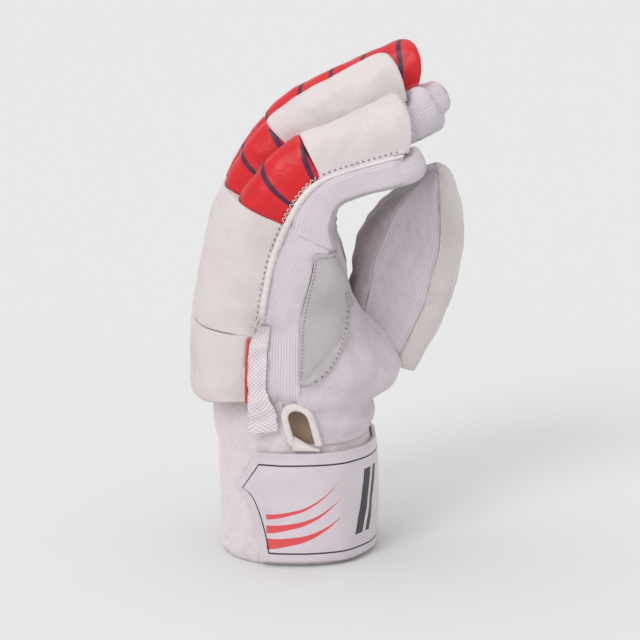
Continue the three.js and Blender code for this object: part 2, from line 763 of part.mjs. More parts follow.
function buildPatch() {
  const skin = handBody(-GAP - PATCH_THICKNESS, 0).subtract(handBody(-GAP, 8));
  const bottom = HAND_START_Z + 8;
  const round = spread(-Math.PI / 2, 0, 6).map((angle) => new THREE.Vector2(
    SIDE_SEAM_X + 1 + PATCH_WIDTH * Math.cos(angle),
    bottom + PATCH_SIDE_HEIGHT * (1 + Math.sin(angle)),
  ));
  const outline = [
    ...round,
    new THREE.Vector2(SIDE_SEAM_X + 1 + PATCH_WIDTH, bottom + PATCH_HEIGHT),
    new THREE.Vector2(SIDE_SEAM_X + 3, bottom + PATCH_HEIGHT),
    new THREE.Vector2(SIDE_SEAM_X + 1, bottom + PATCH_SIDE_HEIGHT),
  ];
  const patch = skin.intersect(curtain(outline, -FAR, -HALF_HAND * 0.3)).intersect(belowKnuckles);
  add('palm_patch', patch, COLOURS.grey);
}

function buildBack() {
  const padTop = WRIST_PAD_LENGTH;
  const half = HALF_HAND - GAP;
  add('wrist_pad', backBlock(0, padTop, GAP + WRIST_PAD_LIFT, half, [0.93, 0.95]), COLOURS.white);
  add('back_pad', backBlock(padTop + GAP, HAND_BACK_LENGTH - GAP, GAP, half, [0.95, 1]), COLOURS.white);
}

function buildFinger(plan) {
  const skin = fingerBody(plan, 0, 0).intersect(aboveKnuckles);
  const strip = curtainAbove(plan);
  const knit = skin.subtract(fingerBody(plan, KNIT_WALL, 6)).intersect(strip);
  const leather = skin.subtract(fingerBody(plan, LEATHER_WALL, 6)).subtract(curtainAbove(plan, GAP));
  add(`${plan.name}_finger_knit`, knit, COLOURS.knit);
  add(`${plan.name}_finger_leather`, leather, COLOURS.grey);
  const seam = KNUCKLE_PAD_LENGTH;
  const red = plan.name === 'middle' ? COLOURS.red : COLOURS.white;
  add(`${plan.name}_knuckle_pad`, fingerRoll(plan, 0, seam, false), COLOURS.red);
  add(`${plan.name}_finger_pad`, fingerRoll(plan, seam + GAP, plan.length, true), red);
}

// Side view of what lies above a finger's leather floor, and past the leather's end
function curtainAbove(plan, grow = 0) {
  const distances = [-6, ...fingerStations(plan)].filter((distance) => distance < plan.length - 4);
  const floor = distances.map((distance) => {
    const spot = plan.line(distance);
    return spot.point.clone().addScaledVector(spot.out, -fingerDepth(plan, distance) + 3 - grow);
  });
  const end = plan.line(plan.length - 4 - grow);
  return curtain([
    ...floor,
    end.point.clone().addScaledVector(end.out, -plan.rootDepth - 20),
    end.point.clone().addScaledVector(end.along, 60).addScaledVector(end.out, -plan.rootDepth - 20),
    end.point.clone().addScaledVector(end.along, 60).addScaledVector(end.out, 60),
    distances[0] === -6 ? plan.line(-6).point.clone().addScaledVector(plan.line(-6).out, 60) : end.point,
  ]);
}

function buildThumb() {
  const handRoom = handBody(-GAP, 0);
  const outer = thumbBody(0, 0);
  const knitSkin = outer.subtract(thumbBody(KNIT_WALL, 8)).subtract(handRoom);
  const leatherSkin = outer.subtract(thumbBody(LEATHER_WALL, 8)).subtract(handRoom);
  add('thumb_knit', knitSkin.intersect(thumbSideRegion(0)), COLOURS.knit);
  add('thumb_leather', leatherSkin.subtract(thumbSideRegion(GAP)), COLOURS.grey);
  const pad = loft(thumbDistances.map((distance) => {
    const at = distance / THUMB_LENGTH;
    const section = padSection({
      half: (column(THUMB_ROWS, 'half', at) * THUMB_WIDTH) / 2,
      base: GAP,
      arch: 0,
      height: column(THUMB_ROWS, 'pad', at) * THUMB_PAD_HEIGHT,
      crown: 3.2,
    });
    return section.map(([y, out]) => placed(thumbLine(distance), -out, THUMB_CENTRE_Y + y));
  }));
  add('thumb_pad', pad.subtract(handRoom), COLOURS.white);
}

// Side view of the thumb's knitted side, between its seam and the leather
function thumbSideRegion(grow) {
  const seam = [];
  const inner = [];
  [-8, ...thumbDistances, THUMB_LENGTH + 8].forEach((distance) => {
    const at = distance / THUMB_LENGTH;
    const spot = thumbLine(distance);
    const side = column(THUMB_ROWS, 'side', at) * column(THUMB_ROWS, 'depth', at) * THUMB_DEPTH;
    seam.push(spot.point.clone().addScaledVector(spot.out, -5));
    inner.push(spot.point.clone().addScaledVector(spot.out, side + grow));
  });
  return curtain([...seam, ...inner.reverse()]);
}

function buildTrim() {
  const y = -HALF_HAND - GAP;
  const start = HAND_BACK_LENGTH;
  const little = fingers[0];
  const lower = sideStrip(backLine, WELT_START, start, 8, -WELT_WIDTH, 0, y, WELT_THICKNESS);
  const upper = sideStrip(little.line, 0, WELT_FINGER_LENGTH, 6, -WELT_WIDTH, 0, y, WELT_THICKNESS);
  add('edge_welt', lower.add(upper), COLOURS.binding);
  const mesh = sideStrip(backLine, 1, WELT_START - 1, 5, WRIST_PAD_LIFT - MESH_WIDTH, WRIST_PAD_LIFT - 1, y, MESH_THICKNESS);
  add('mesh_trim', mesh, COLOURS.towel);
  const piping = sideStrip(
    backLine, 0, WRIST_PAD_LENGTH, 5, WRIST_PAD_LIFT + GAP, WRIST_PAD_LIFT + GAP + PIPING_SIZE, y, PIPING_SIZE,
  );
  add('wrist_piping', piping, COLOURS.piping);
}

buildCuff();
buildStrap();
buildSlitBinding();
buildHand();
buildPatch();
buildBack();
fingers.forEach(buildFinger);
buildThumb();
buildTrim();

// The origin is under the middle of the whole glove, where it stands
const bounds = new THREE.Box3().setFromObject(glove);
const centre = bounds.getCenter(new THREE.Vector3());
glove.position.set(-centre.x, -centre.y, -bounds.min.z);

export default glove;
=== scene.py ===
import math
import random

import bmesh
import bpy
import numpy as np
from mathutils import Matrix, Vector
from mathutils.kdtree import KDTree


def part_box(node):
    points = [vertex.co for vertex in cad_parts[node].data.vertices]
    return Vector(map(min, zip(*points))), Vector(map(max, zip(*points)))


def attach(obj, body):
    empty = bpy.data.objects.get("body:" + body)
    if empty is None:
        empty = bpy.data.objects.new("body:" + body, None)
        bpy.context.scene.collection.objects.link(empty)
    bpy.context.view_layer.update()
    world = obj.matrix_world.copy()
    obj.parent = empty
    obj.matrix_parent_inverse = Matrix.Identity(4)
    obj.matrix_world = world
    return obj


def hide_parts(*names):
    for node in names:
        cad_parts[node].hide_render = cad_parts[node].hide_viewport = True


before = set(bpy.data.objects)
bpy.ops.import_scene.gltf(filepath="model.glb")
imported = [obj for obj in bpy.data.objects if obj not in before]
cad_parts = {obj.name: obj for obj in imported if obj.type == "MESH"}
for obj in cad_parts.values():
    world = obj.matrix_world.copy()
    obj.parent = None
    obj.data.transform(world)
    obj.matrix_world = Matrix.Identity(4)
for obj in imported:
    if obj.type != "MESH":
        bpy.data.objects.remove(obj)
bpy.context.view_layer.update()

# A padded cricket batting glove standing on its wristband. The named sizes and the tables are the
# part's own, in metres: +Z up, +X to the palm side, -Y to the little finger, +Y to the thumb.
MM = 0.001

CUFF_HEIGHT = 57.5 * MM
CUFF_BACK_RISE = 21.8 * MM
CUFF_DEPTH = 74 * MM
CUFF_WIDTH = 84 * MM
CUFF_CENTRE_X = -1 * MM
CUFF_FULL = CUFF_HEIGHT + CUFF_BACK_RISE

STRAP_HEIGHT = 52 * MM
STRAP_THICKNESS = 2 * MM
STRAP_RISE = 2.2 * MM
STRAP_POINT_REACH = 10 * MM
STRAP_POINT_HEIGHT = 34 * MM
STRAP_NEAR_END_X = -18 * MM
STRAP_FAR_END_X = -24 * MM

SLIT_WIDTH = 9 * MM
SLIT_HEIGHT = 17.5 * MM
SLIT_X = -2 * MM
BINDING_WIDTH = 3.4 * MM
SLIT_TOP_Z = CUFF_HEIGHT + SLIT_HEIGHT + BINDING_WIDTH

FINGER_PITCH = 24 * MM
HALF_HAND = 2 * FINGER_PITCH
HAND_DEPTH = 67.4 * MM
HAND_BACK_LENGTH = 83 * MM
HAND_BACK_X = -19 * MM
HAND_START_Z = CUFF_FULL + 0.6 * MM
SIDE_PANEL_WIDTH = 20 * MM
SIDE_SEAM_X = HAND_BACK_X + SIDE_PANEL_WIDTH
BACK_ARCH = 8 * MM
PAD_HEIGHT = 24 * MM
WRIST_PAD_LENGTH = 30 * MM
WRIST_PAD_LIFT = 4 * MM
KNUCKLE_PAD_LENGTH = 27 * MM
WELT_START = 36 * MM
WELT_END = 111 * MM

PATCH_WIDTH = 24 * MM
PATCH_HEIGHT = 69 * MM
PATCH_SIDE_HEIGHT = 40 * MM
PATCH_TOP = 60.5 * MM

THUMB_LENGTH = 97 * MM
THUMB_WIDTH = 38 * MM
THUMB_DEPTH = 38 * MM
THUMB_CENTRE_Y = 27 * MM
THUMB_START = (46 * MM, 84 * MM)
THUMB_PAD_HEIGHT = 13.5 * MM

CUFF_ROWS = {
    "at": (0, 0.05, 0.35, 0.63, 0.72, 0.82, 0.92, 0.97, 1),
    "back": (0.95, 0.985, 1, 1.01, 1.05, 1.08, 1.06, 0.95, 0.8),
    "palm": (0.95, 0.98, 1, 0.975, 0.93, 1, 0.98, 1.05, 1.2),
    "half": (0.965, 1, 1.005, 1, 1, 1.035, 1.05, 1.06, 1.07),
}
HAND_ROWS = {
    "at": (0, 0.08, 0.14, 0.2, 0.25, 0.31, 0.38, 0.45, 0.52, 0.6, 0.7, 0.82, 0.91, 1),
    "depth": (0.775, 0.82, 0.8, 0.95, 1, 0.98, 0.91, 0.82, 0.72, 0.65, 0.62, 0.56, 0.525, 0.51),
    "half": (0.875, 0.905, 0.92, 0.96, 0.97, 0.98, 0.98, 0.985, 0.99, 0.99, 1, 1, 1, 1),
    "peak": (0, 0, 0.04, 0.12, 0.16, 0.16, 0.14, 0.1, 0.04, 0, 0, 0, 0, 0),
    "side": (0.26, 0.26, 0.26, 0.28, 0.3, 0.3, 0.3, 0.3, 0.3, 0.3, 0.3, 0.3, 0.3, 0.3),
}
BACK_ROWS = {"at": (0, 0.35, 0.68, 0.8, 0.9, 1), "heading": (92, 84, 79, 74, 68, 65)}
BEND_ROWS = {"at": (0, 0.15, 0.3, 0.42, 0.55, 1), "bend": (0, 0.12, 0.42, 0.78, 0.95, 1)}
DEPTH_ROWS = {"at": (0, 0.2, 0.5, 1), "share": (0, 0.5, 1, 1)}
THUMB_ROWS = {
    "at": (0, 0.12, 0.3, 0.5, 0.65, 0.8, 0.88, 0.94, 1),
    "heading": (64, 66, 68, 76, 85, 90, 94, 100, 112),
    "depth": (0.74, 0.86, 0.94, 1, 0.97, 0.78, 0.56, 0.38, 0.18),
    "side": (0.66, 0.7, 0.74, 0.76, 0.72, 0.72, 0.72, 0.72, 0.72),
    "half": (0.9, 0.96, 1, 1, 1, 0.94, 0.86, 0.74, 0.5),
    "pad": (0.84, 0.92, 1, 1.02, 0.98, 0.86, 0.76, 0.64, 0.42),
}
# Lengths in millimetres and turns in degrees. Lane counts finger pitches from the middle of the hand,
# lift is a share of the back's arch, root, mid and end are shares of the pad height, and lean and
# rise shape the ends of the roll and of the knitted tip.
FINGER_COLUMNS = ("lane", "length", "tip", "bend", "lift", "lean", "rise", "root", "mid", "end", "droop")
FINGERS = {
    "little": (-1.5, 68, 6, 50, 0, 4.5, 1, 1, 0.9, 1.15, 0.85),
    "ring": (-0.5, 82, 11, 38, 0.94, 3, 2.5, 1, 1, 1, 1.1),
    "middle": (0.5, 90, 10, 39, 0.94, 6, -2.5, 1, 1, 0.9, 1.1),
    "index": (1.5, 80, 9, 42, 0, 4, 1, 1, 0.94, 1.06, 1),
}
FINGER_ROOT_DEPTH = 23 * MM
FINGER_DEPTH = 17.5 * MM

# The part's own place in the row frame: its widest pads and its wristband show the shift
SHIFT_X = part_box("cuff")[0].x - (CUFF_CENTRE_X - 1.08 * CUFF_DEPTH / 2)
SHIFT_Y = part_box("little_finger_pad")[0].y + 2 * FINGER_PITCH - 0.15 * MM


# Shapes shared by the pieces

def curve(rows, key, at):
    """Value of a column at shares, on a smooth curve through the rows."""
    x = np.array(rows["at"], float)
    y = np.array(rows[key], float)
    at = np.clip(at, x[0], x[-1])
    last = len(x) - 1
    before = np.maximum(np.arange(len(x)) - 1, 0)
    after = np.minimum(np.arange(len(x)) + 1, last)
    slope = (y[after] - y[before]) / (x[after] - x[before])
    high = np.clip(np.searchsorted(x, at), 1, last)
    low = high - 1
    span = x[high] - x[low]
    t = (at - x[low]) / span
    start = (2 * t**3 - 3 * t**2 + 1) * y[low] + (t**3 - 2 * t**2 + t) * slope[low] * span
    return start + (3 * t**2 - 2 * t**3) * y[high] + (t**3 - t**2) * slope[high] * span


class SeamLine:
    """A line of the side view that follows headings, read by the distance along it."""

    def __init__(self, start, length, rows):
        steps = 160
        self.length = length
        self.turns = np.radians(curve(rows, "heading", np.linspace(0, 1, steps + 1)))
        middle = (self.turns[1:] + self.turns[:-1]) / 2
        strides = np.stack([np.cos(middle), np.sin(middle)], 1) * length / steps
        self.points = np.vstack([start, start + np.cumsum(strides, 0)])
        self.marks = np.linspace(0, length, steps + 1)

    def turn(self, distance):
        return np.interp(distance, self.marks, self.turns)

    def place(self, distance, out, y):
        """Points in the row frame, moved out from the line and placed across the hand."""
        distance = np.asarray(distance, float)
        inside = np.clip(distance, 0, self.length)
        turn = self.turn(inside)
        past = distance - inside
        x = np.interp(inside, self.marks, self.points[:, 0]) + np.cos(turn) * past - np.sin(turn) * out
        z = np.interp(inside, self.marks, self.points[:, 1]) + np.sin(turn) * past + np.cos(turn) * out
        return np.stack(np.broadcast_arrays(x + SHIFT_X, y + SHIFT_Y, z), -1)


back_line = SeamLine(np.array([HAND_BACK_X, HAND_START_Z]), HAND_BACK_LENGTH, BACK_ROWS)
thumb_line = SeamLine(np.array(THUMB_START), THUMB_LENGTH, THUMB_ROWS)
KNUCKLE = back_line.points[-1]
KNUCKLE_TURN = back_line.turns[-1]
HAND_TOP_Z = KNUCKLE[1] + 5 * MM


def finger_plan(name):
    """A finger's own seam line and depths, worked out from its row."""
    finger = dict(zip(FINGER_COLUMNS, FINGERS[name]))
    for key in ("length", "tip", "lean", "rise"):
        finger[key] *= MM
    lift = finger["lift"] * BACK_ARCH
    start = KNUCKLE + lift * np.array([-math.sin(KNUCKLE_TURN), math.cos(KNUCKLE_TURN)])
    whole = finger["length"] + finger["tip"]
    heading = math.degrees(KNUCKLE_TURN)
    rows = {
        "at": [at * finger["length"] / whole for at in BEND_ROWS["at"]] + [1],
        "heading": [heading - bend * finger["bend"] for bend in (*BEND_ROWS["bend"], 1)],
    }
    return {
        **finger,
        "name": name,
        "whole": whole,
        "y": finger["lane"] * FINGER_PITCH,
        "half": FINGER_PITCH / 2 - 0.3 * MM,
        "line": SeamLine(start, whole, rows),
        "root_depth": FINGER_ROOT_DEPTH + lift,
        "own_depth": FINGER_DEPTH * finger["droop"],
    }


fingers = {name: finger_plan(name) for name in FINGERS}


def smooth(low, high, value):
    """A step from 0 to 1 with soft ends."""
    t = np.clip((value - low) / (high - low), 0, 1)
    return t * t * (3 - 2 * t)


def ripple(points, scale, seed, octaves=3):
    """Soft even waves in space, from -1 to 1, made of turned sine waves with set directions."""
    dice = random.Random(seed)
    total = np.zeros(len(points))
    weight = 0
    for octave in range(octaves):
        for _ in range(4):
            way = np.array([dice.gauss(0, 1) for _ in range(3)])
            way *= 2 * math.pi * 1.7**octave / (scale * np.linalg.norm(way))
            bend = np.array([dice.gauss(0, 1) for _ in range(3)]) * 2 / scale
            total += np.sin(points @ way + 1.6 * np.sin(points @ bend) + dice.uniform(0, 6.3)) / 1.7**octave
            weight += 0.6 / 1.7**octave
    return np.clip(total / weight, -1.5, 1.5)


def new_object(name, bm):
    """A smooth-shaded object of a finished bmesh."""
    for face in bm.faces:
        face.smooth = True
    mesh = bpy.data.meshes.new(name)
    bm.to_mesh(mesh)
    bm.free()
    piece = bpy.data.objects.new(name, mesh)
    bpy.context.scene.collection.objects.link(piece)
    return piece


def edited(piece, edit):
    """Runs edit(bmesh) on a piece's mesh and keeps the result."""
    bm = bmesh.new()
    bm.from_mesh(piece.data)
    edit(bm)
    bm.to_mesh(piece.data)
    bm.free()


def new_piece(name, sheets, inside=None, seal=False):
    """A mesh of one or more grids, each laid on a surface: (columns, rows, place, width, length)."""
    bm = bmesh.new()
    surface = bm.loops.layers.uv.new("surface")
    for columns, rows, place, width, length in sheets:
        verts = bmesh.ops.create_grid(bm, x_segments=columns, y_segments=rows, size=0.5)["verts"]
        flat = np.array([vert.co[:2] for vert in verts]) + 0.5
        faces = {face for vert in verts for face in vert.link_faces}
        for face in faces:
            for loop in face.loops:
                loop[surface].uv = ((loop.vert.co.x + 0.5) * width, (loop.vert.co.y + 0.5) * length)
        for vert, point in zip(verts, place(flat[:, 0], flat[:, 1])):
            vert.co = point
    bmesh.ops.remove_doubles(bm, verts=bm.verts, dist=0.02 * MM)
    if seal:
        rims = [edge for edge in bm.edges if edge.is_boundary]
        bmesh.ops.holes_fill(bm, edges=rims, sides=0)
        bmesh.ops.recalc_face_normals(bm, faces=bm.faces)
    elif inside is not None:
        middle = Vector(inside)
        facing = sum(face.normal.dot(face.calc_center_median() - middle) for face in bm.faces)
        if facing < 0:
            bmesh.ops.reverse_faces(bm, faces=bm.faces)
    return new_object(name, bm)


def read_points(piece):
    points = np.zeros(len(piece.data.vertices) * 3)
    piece.data.vertices.foreach_get("co", points)
    return points.reshape(-1, 3)


def write_points(piece, points):
    piece.data.vertices.foreach_set("co", np.asarray(points, float).reshape(-1))
    piece.data.update()


def raise_surface(piece, height):
    """Moves each point along the surface's own normal by height(points), in metres."""
    points = read_points(piece)
    normals = np.array([vert.normal[:] for vert in piece.data.vertices])
    write_points(piece, points + normals * np.asarray(height(points))[:, None])


def crease(points, line, width, side=-1):
    """1 on a line drawn in the side view (x, z in millimetres), falling to 0 beside it."""
    line = np.array(line, float) * MM + np.array([SHIFT_X, 0])
    spot = points[:, [0, 2]]
    nearest = np.full(len(points), 1e9)
    for start, end in zip(line[:-1], line[1:]):
        way = end - start
        t = np.clip((spot - start) @ way / (way @ way), 0, 1)
        nearest = np.minimum(nearest, np.linalg.norm(spot - start - t[:, None] * way, axis=1))
    facing = (points[:, 1] - SHIFT_Y) * side > 0
    return np.where(facing, np.exp(-((nearest / (width * MM)) ** 2)), 0)


def thicken(piece, wall):
    """Gives a sheet its wall, on the inner side."""
    modifier = piece.modifiers.new("wall", "SOLIDIFY")
    modifier.thickness = wall
    modifier.offset = -1
    modifier.use_even_offset = False


def sewn_on(piece, material, slot, *nodes):
    """Gives a piece its finish and its body, and hides the CAD nodes it stands for."""
    piece.data.materials.clear()
    piece.data.materials.append(material)
    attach(piece, "root")
    if nodes:
        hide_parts(*nodes)
    return piece


def sewn_sheet(piece, height, wall, material, slot, *nodes):
    """Raises a sheet's folds, gives it its wall and sews it on."""
    raise_surface(piece, height)
    thicken(piece, wall)
    return sewn_on(piece, material, slot, *nodes)


# Finishes

def srgb(red, green, blue):
    """A colour in linear light, from its 0 to 255 values."""
    def linear(value):
        value /= 255
        return value / 12.92 if value <= 0.04045 else ((value + 0.055) / 1.055) ** 2.4
    return (linear(red), linear(green), linear(blue), 1)


def plug(tree, value, socket):
    """Links a node's output to a socket, or sets the socket to a plain value."""
    if isinstance(value, bpy.types.NodeSocket):
        tree.links.new(value, socket)
    else:
        socket.default_value = value


class Finish:
    """A material under construction, with short names for the nodes it is made of."""

    def __init__(self, name, roughness, **sockets):
        self.material = bpy.data.materials.new(name)
        self.material.use_nodes = True
        self.tree = self.material.node_tree
        self.shader = self.tree.nodes["Principled BSDF"]
        self.shader.inputs["Roughness"].default_value = roughness
        for key, value in sockets.items():
            self.shader.inputs[key.replace("_", " ")].default_value = value
        coordinates = self.tree.nodes.new("ShaderNodeTexCoord")
        self.place = coordinates.outputs["Object"]
        flat = self.tree.nodes.new("ShaderNodeUVMap")
        flat.uv_map = "surface"
        self.flat = flat.outputs["UV"]

    def add(self, kind, **inputs):
        node = self.tree.nodes.new("ShaderNode" + kind)
        for key, value in inputs.items():
            numbered = key[0] == "i" and key[1:].isdigit()
            plug(self.tree, value, node.inputs[int(key[1:]) if numbered else key])
        return node

    def math(self, operation, first, second=0.0, third=0.0):
        node = self.add("Math", i0=first, i1=second, i2=third)
        node.operation = operation
        return node.outputs[0]

    def noise(self, place, scale, detail=3, roughness=0.55, distortion=0):
        node = self.add("TexNoise", Vector=place, Scale=scale, Detail=detail,
                        Roughness=roughness, Distortion=distortion)
        return node.outputs[0]

    def window(self, value, low, high):
        """0 below low, 1 above high."""
        node = self.add("MapRange", Value=value)
        node.inputs["From Min"].default_value = low
        node.inputs["From Max"].default_value = high
        return node.outputs[0]

    def mix(self, factor, first, second):
        node = self.tree.nodes.new("ShaderNodeMix")
        node.data_type = "RGBA"
        for spot, value in ((0, factor), (6, first), (7, second)):
            plug(self.tree, value, node.inputs[spot])
        return node.outputs[2]

    def split(self, place):
        return self.add("SeparateXYZ", Vector=place).outputs

    def colour(self, value):
        plug(self.tree, value, self.shader.inputs["Base Color"])

    def roughness(self, value):
        self.tree.links.new(value, self.shader.inputs["Roughness"])

    def relief(self, *layers):
        """One bump of several layers, each (height, depth in metres)."""
        total = 0.0
        for height, depth in layers:
            total = self.math("MULTIPLY_ADD", height, depth / MM, total)
        bump = self.add("Bump", Height=total, Strength=1.0, Distance=MM)
        self.tree.links.new(bump.outputs[0], self.shader.inputs["Normal"])


def leather(name, pale, worn, roughness=0.46, wrinkle=0.5):
    """Soft glove leather: fine grain, long soft wrinkles, faint handling marks."""
    finish = Finish(name, roughness, Specular_IOR_Level=0.42)
    marks = finish.window(finish.noise(finish.place, 45, 4, 0.62), 0.48, 0.72)
    finish.colour(finish.mix(finish.math("MULTIPLY", marks, 0.45), pale, worn))
    finish.roughness(finish.math("MULTIPLY_ADD", marks, 0.14, roughness - 0.04))
    wrinkles = finish.noise(finish.place, 110, 3, 0.6, 0.6)
    grain = finish.noise(finish.place, 1300, 1)
    finish.relief((wrinkles, 0.9 * MM * wrinkle), (grain, 0.1 * MM))
    return finish


def striped_leather():
    """Red leather with three slim dark stripes that sweep across each panel."""
    finish = leather("red_leather", srgb(214, 22, 32), srgb(170, 14, 26), 0.4, 0.4)
    across, along, _ = finish.split(finish.flat)
    sway = finish.math("SINE", finish.math("MULTIPLY", across, 48.0))
    line = finish.math("MULTIPLY_ADD", sway, 0.0062, finish.math("MULTIPLY_ADD", across, 0.28, along))
    phase = finish.math("MODULO", finish.math("ADD", line, 0.0535), 0.0145)
    ink = finish.math("COMPARE", phase, 0.0072, 0.00095)
    base = finish.shader.inputs["Base Color"].links[0].from_socket
    finish.colour(finish.mix(finish.math("MULTIPLY", ink, 0.94), base, srgb(44, 34, 66)))
    return finish


def ribbed_knit():
    """Elastic knit: fine ribs along the panel, small stitches in each rib, and painted shade in the valleys
    between the ribs.
    """
    finish = Finish("ribbed_knit", 0.85, Sheen_Weight=0.25, Sheen_Roughness=0.5, Specular_IOR_Level=0.2)
    across, along, _ = finish.split(finish.flat)
    rib = finish.math("SINE", finish.math("MULTIPLY", across, 2 * math.pi / 0.00108))
    rib = finish.math("MULTIPLY_ADD", rib, 0.5, 0.5)
    slant = finish.math("MULTIPLY_ADD", rib, 0.0006, along)
    loop = finish.math("SINE", finish.math("MULTIPLY", slant, 2 * math.pi / 0.0011))
    loop = finish.math("MULTIPLY_ADD", loop, 0.5, 0.5)
    knit = finish.math("MULTIPLY", rib, finish.math("MULTIPLY_ADD", loop, 0.35, 0.65))
    # Painted shade: the valleys between the ribs take the darker colour and the rib crests the paler one.
    shade = finish.mix(finish.window(rib, 0.0, 0.7), srgb(206, 194, 204), srgb(225, 214, 222))
    soil = finish.window(finish.noise(finish.place, 45, 3), 0.48, 0.72)
    finish.colour(finish.mix(finish.math("MULTIPLY", soil, 0.3), shade, srgb(202, 191, 199)))
    finish.relief((knit, 0.15 * MM),)
    return finish


def suede(name, pale, worn):
    """Palm leather with the grain outwards: soft nap, broad folds, pores."""
    finish = Finish(name, 0.62, Sheen_Weight=0.12, Specular_IOR_Level=0.3)
    marks = finish.window(finish.noise(finish.place, 34, 4, 0.6), 0.46, 0.72)
    finish.colour(finish.mix(finish.math("MULTIPLY", marks, 0.5), pale, worn))
    wrinkles = finish.noise(finish.place, 130, 4, 0.62, 1.0)
    pores = finish.noise(finish.place, 1500, 1)
    finish.relief((wrinkles, 0.9 * MM), (pores, 0.12 * MM))
    return finish


def towelling():
    """Terry cloth: small loops with soft shade between them."""
    finish = Finish("towelling", 0.95, Sheen_Weight=0.35, Sheen_Roughness=0.6, Specular_IOR_Level=0.15)
    loops = finish.noise(finish.place, 900, 1)
    clump = finish.noise(finish.place, 330, 2, 0.6)
    finish.colour(finish.mix(finish.window(clump, 0.35, 0.65), srgb(217, 205, 208), srgb(223, 212, 214)))
    finish.relief((clump, 0.35 * MM), (loops, 0.35 * MM))
    return finish


def strap_sheet():
    """Smooth coated strap: a thin dark border, curved tapering stripes and two slanted bars."""
    finish = Finish("strap_sheet", 0.42, Specular_IOR_Level=0.45)
    border, up, _ = finish.split(finish.flat)
    straight = finish.tree.nodes.new("ShaderNodeUVMap")
    straight.uv_map = "print"
    along = finish.split(straight.outputs["UV"])[0]
    marks = finish.window(finish.noise(finish.place, 40, 3), 0.48, 0.72)
    tone = finish.mix(finish.math("MULTIPLY", marks, 0.35), srgb(216, 206, 213), srgb(191, 182, 189))
    ink = 0.0
    borders = ((5.2 * MM, border), (104 * MM, border), (4.4 * MM, up), (STRAP_HEIGHT - 5.4 * MM, up))
    for edge, line in borders:
        ink = finish.math("MAXIMUM", ink, finish.math("COMPARE", line, edge, 0.5 * MM))
    inside = finish.math("MULTIPLY", finish.math("LESS_THAN", border, 104.3 * MM),
                         finish.math("GREATER_THAN", border, 4.9 * MM))
    inside = finish.math("MULTIPLY", inside, finish.math("GREATER_THAN", up, 4.1 * MM))
    inside = finish.math("MULTIPLY", inside, finish.math("LESS_THAN", up, STRAP_HEIGHT - 5.1 * MM))
    ink = finish.math("MULTIPLY", ink, inside)
    lean = finish.math("MULTIPLY_ADD", up, -0.28, along)
    for middle, wide in ((53 * MM, 3.4 * MM), (61 * MM, 1.8 * MM)):
        bar = finish.math("COMPARE", lean, middle, wide)
        tall = finish.math("COMPARE", up, STRAP_HEIGHT / 2, 15 * MM)
        ink = finish.math("MAXIMUM", ink, finish.math("MULTIPLY", bar, tall))
    share = finish.math("DIVIDE", finish.math("SUBTRACT", along, 9 * MM), 34 * MM)
    within = finish.math("COMPARE", share, 0.5, 0.5)
    sweep = finish.math("MULTIPLY", share, share)
    red = 0.0
    for low, rise, wide in ((9, 12, 2.6), (16, 14, 1.9), (22, 17, 1.2)):
        middle = finish.math("MULTIPLY_ADD", sweep, rise * MM, low * MM)
        taper = finish.math("MULTIPLY", finish.math("SUBTRACT", 1.05, share), wide * MM)
        away = finish.math("ABSOLUTE", finish.math("SUBTRACT", up, middle))
        stripe = finish.math("MULTIPLY", finish.math("LESS_THAN", away, taper), within)
        red = finish.math("MAXIMUM", red, stripe)
    tone = finish.mix(finish.math("MULTIPLY", red, 0.9), tone, srgb(226, 44, 48))
    finish.colour(finish.mix(finish.math("MULTIPLY", ink, 0.95), tone, srgb(24, 20, 27)))
    weave = finish.math("MULTIPLY", finish.math("SINE", finish.math("MULTIPLY", along, 7000)),
                        finish.math("SINE", finish.math("MULTIPLY", up, 7000)))
    finish.relief((finish.noise(finish.place, 700, 1), 0.1 * MM), (weave, 0.02 * MM))
    return finish


def net_cloth():
    """Open net: crossed threads with shade in the holes."""
    finish = Finish("mesh_cloth", 0.85, Sheen_Weight=0.2)
    across, along, _ = finish.split(finish.flat)
    slant = finish.math("ADD", across, along)
    cross = finish.math("SUBTRACT", across, along)
    weft = finish.math("ABSOLUTE", finish.math("SINE", finish.math("MULTIPLY", slant, math.pi / 0.0019)))
    warp = finish.math("ABSOLUTE", finish.math("SINE", finish.math("MULTIPLY", cross, math.pi / 0.0019)))
    hole = finish.math("MULTIPLY", finish.window(weft, 0.45, 0.75), finish.window(warp, 0.45, 0.75))
    finish.colour(finish.mix(hole, srgb(236, 228, 232), srgb(214, 204, 211)))
    finish.relief((finish.math("SUBTRACT", 1.0, hole), 0.2 * MM),)
    return finish


def plain_thread(name, tone, dark):
    finish = Finish(name, 0.7, Sheen_Weight=0.2)
    twist = finish.noise(finish.place, 2400, 2)
    finish.colour(finish.mix(finish.window(twist, 0.3, 0.7), tone, dark))
    finish.relief((twist, 0.1 * MM),)
    return finish


white_leather = leather("white_leather", srgb(216, 207, 206), srgb(194, 184, 182)).material
red_leather = striped_leather().material
grey_leather = leather("grey_leather", srgb(189, 182, 185), srgb(160, 152, 156), 0.55, 0.35).material
palm_leather = suede("palm_leather", srgb(214, 202, 210), srgb(191, 179, 187)).material
knit = ribbed_knit().material
towel = towelling().material
strap_material = strap_sheet().material
net = net_cloth().material
binding_leather = leather("white_binding", srgb(226, 219, 216), srgb(190, 180, 176), 0.5, 0.25).material
piping_leather = leather("red_piping", srgb(222, 66, 44), srgb(176, 40, 30), 0.45, 0.2).material
# Painted shade: the lining behind the wrist slit is coloured dark brown to stand for the shade inside the
# slit.
lining_painted_shade = suede("slit_lining", srgb(176, 152, 128), srgb(140, 118, 98)).material
white_thread = plain_thread("white_thread", srgb(236, 232, 230), srgb(186, 178, 178)).material
dark_thread = plain_thread("dark_thread", srgb(70, 60, 72), srgb(30, 24, 34)).material


# Padded rolls and blocks

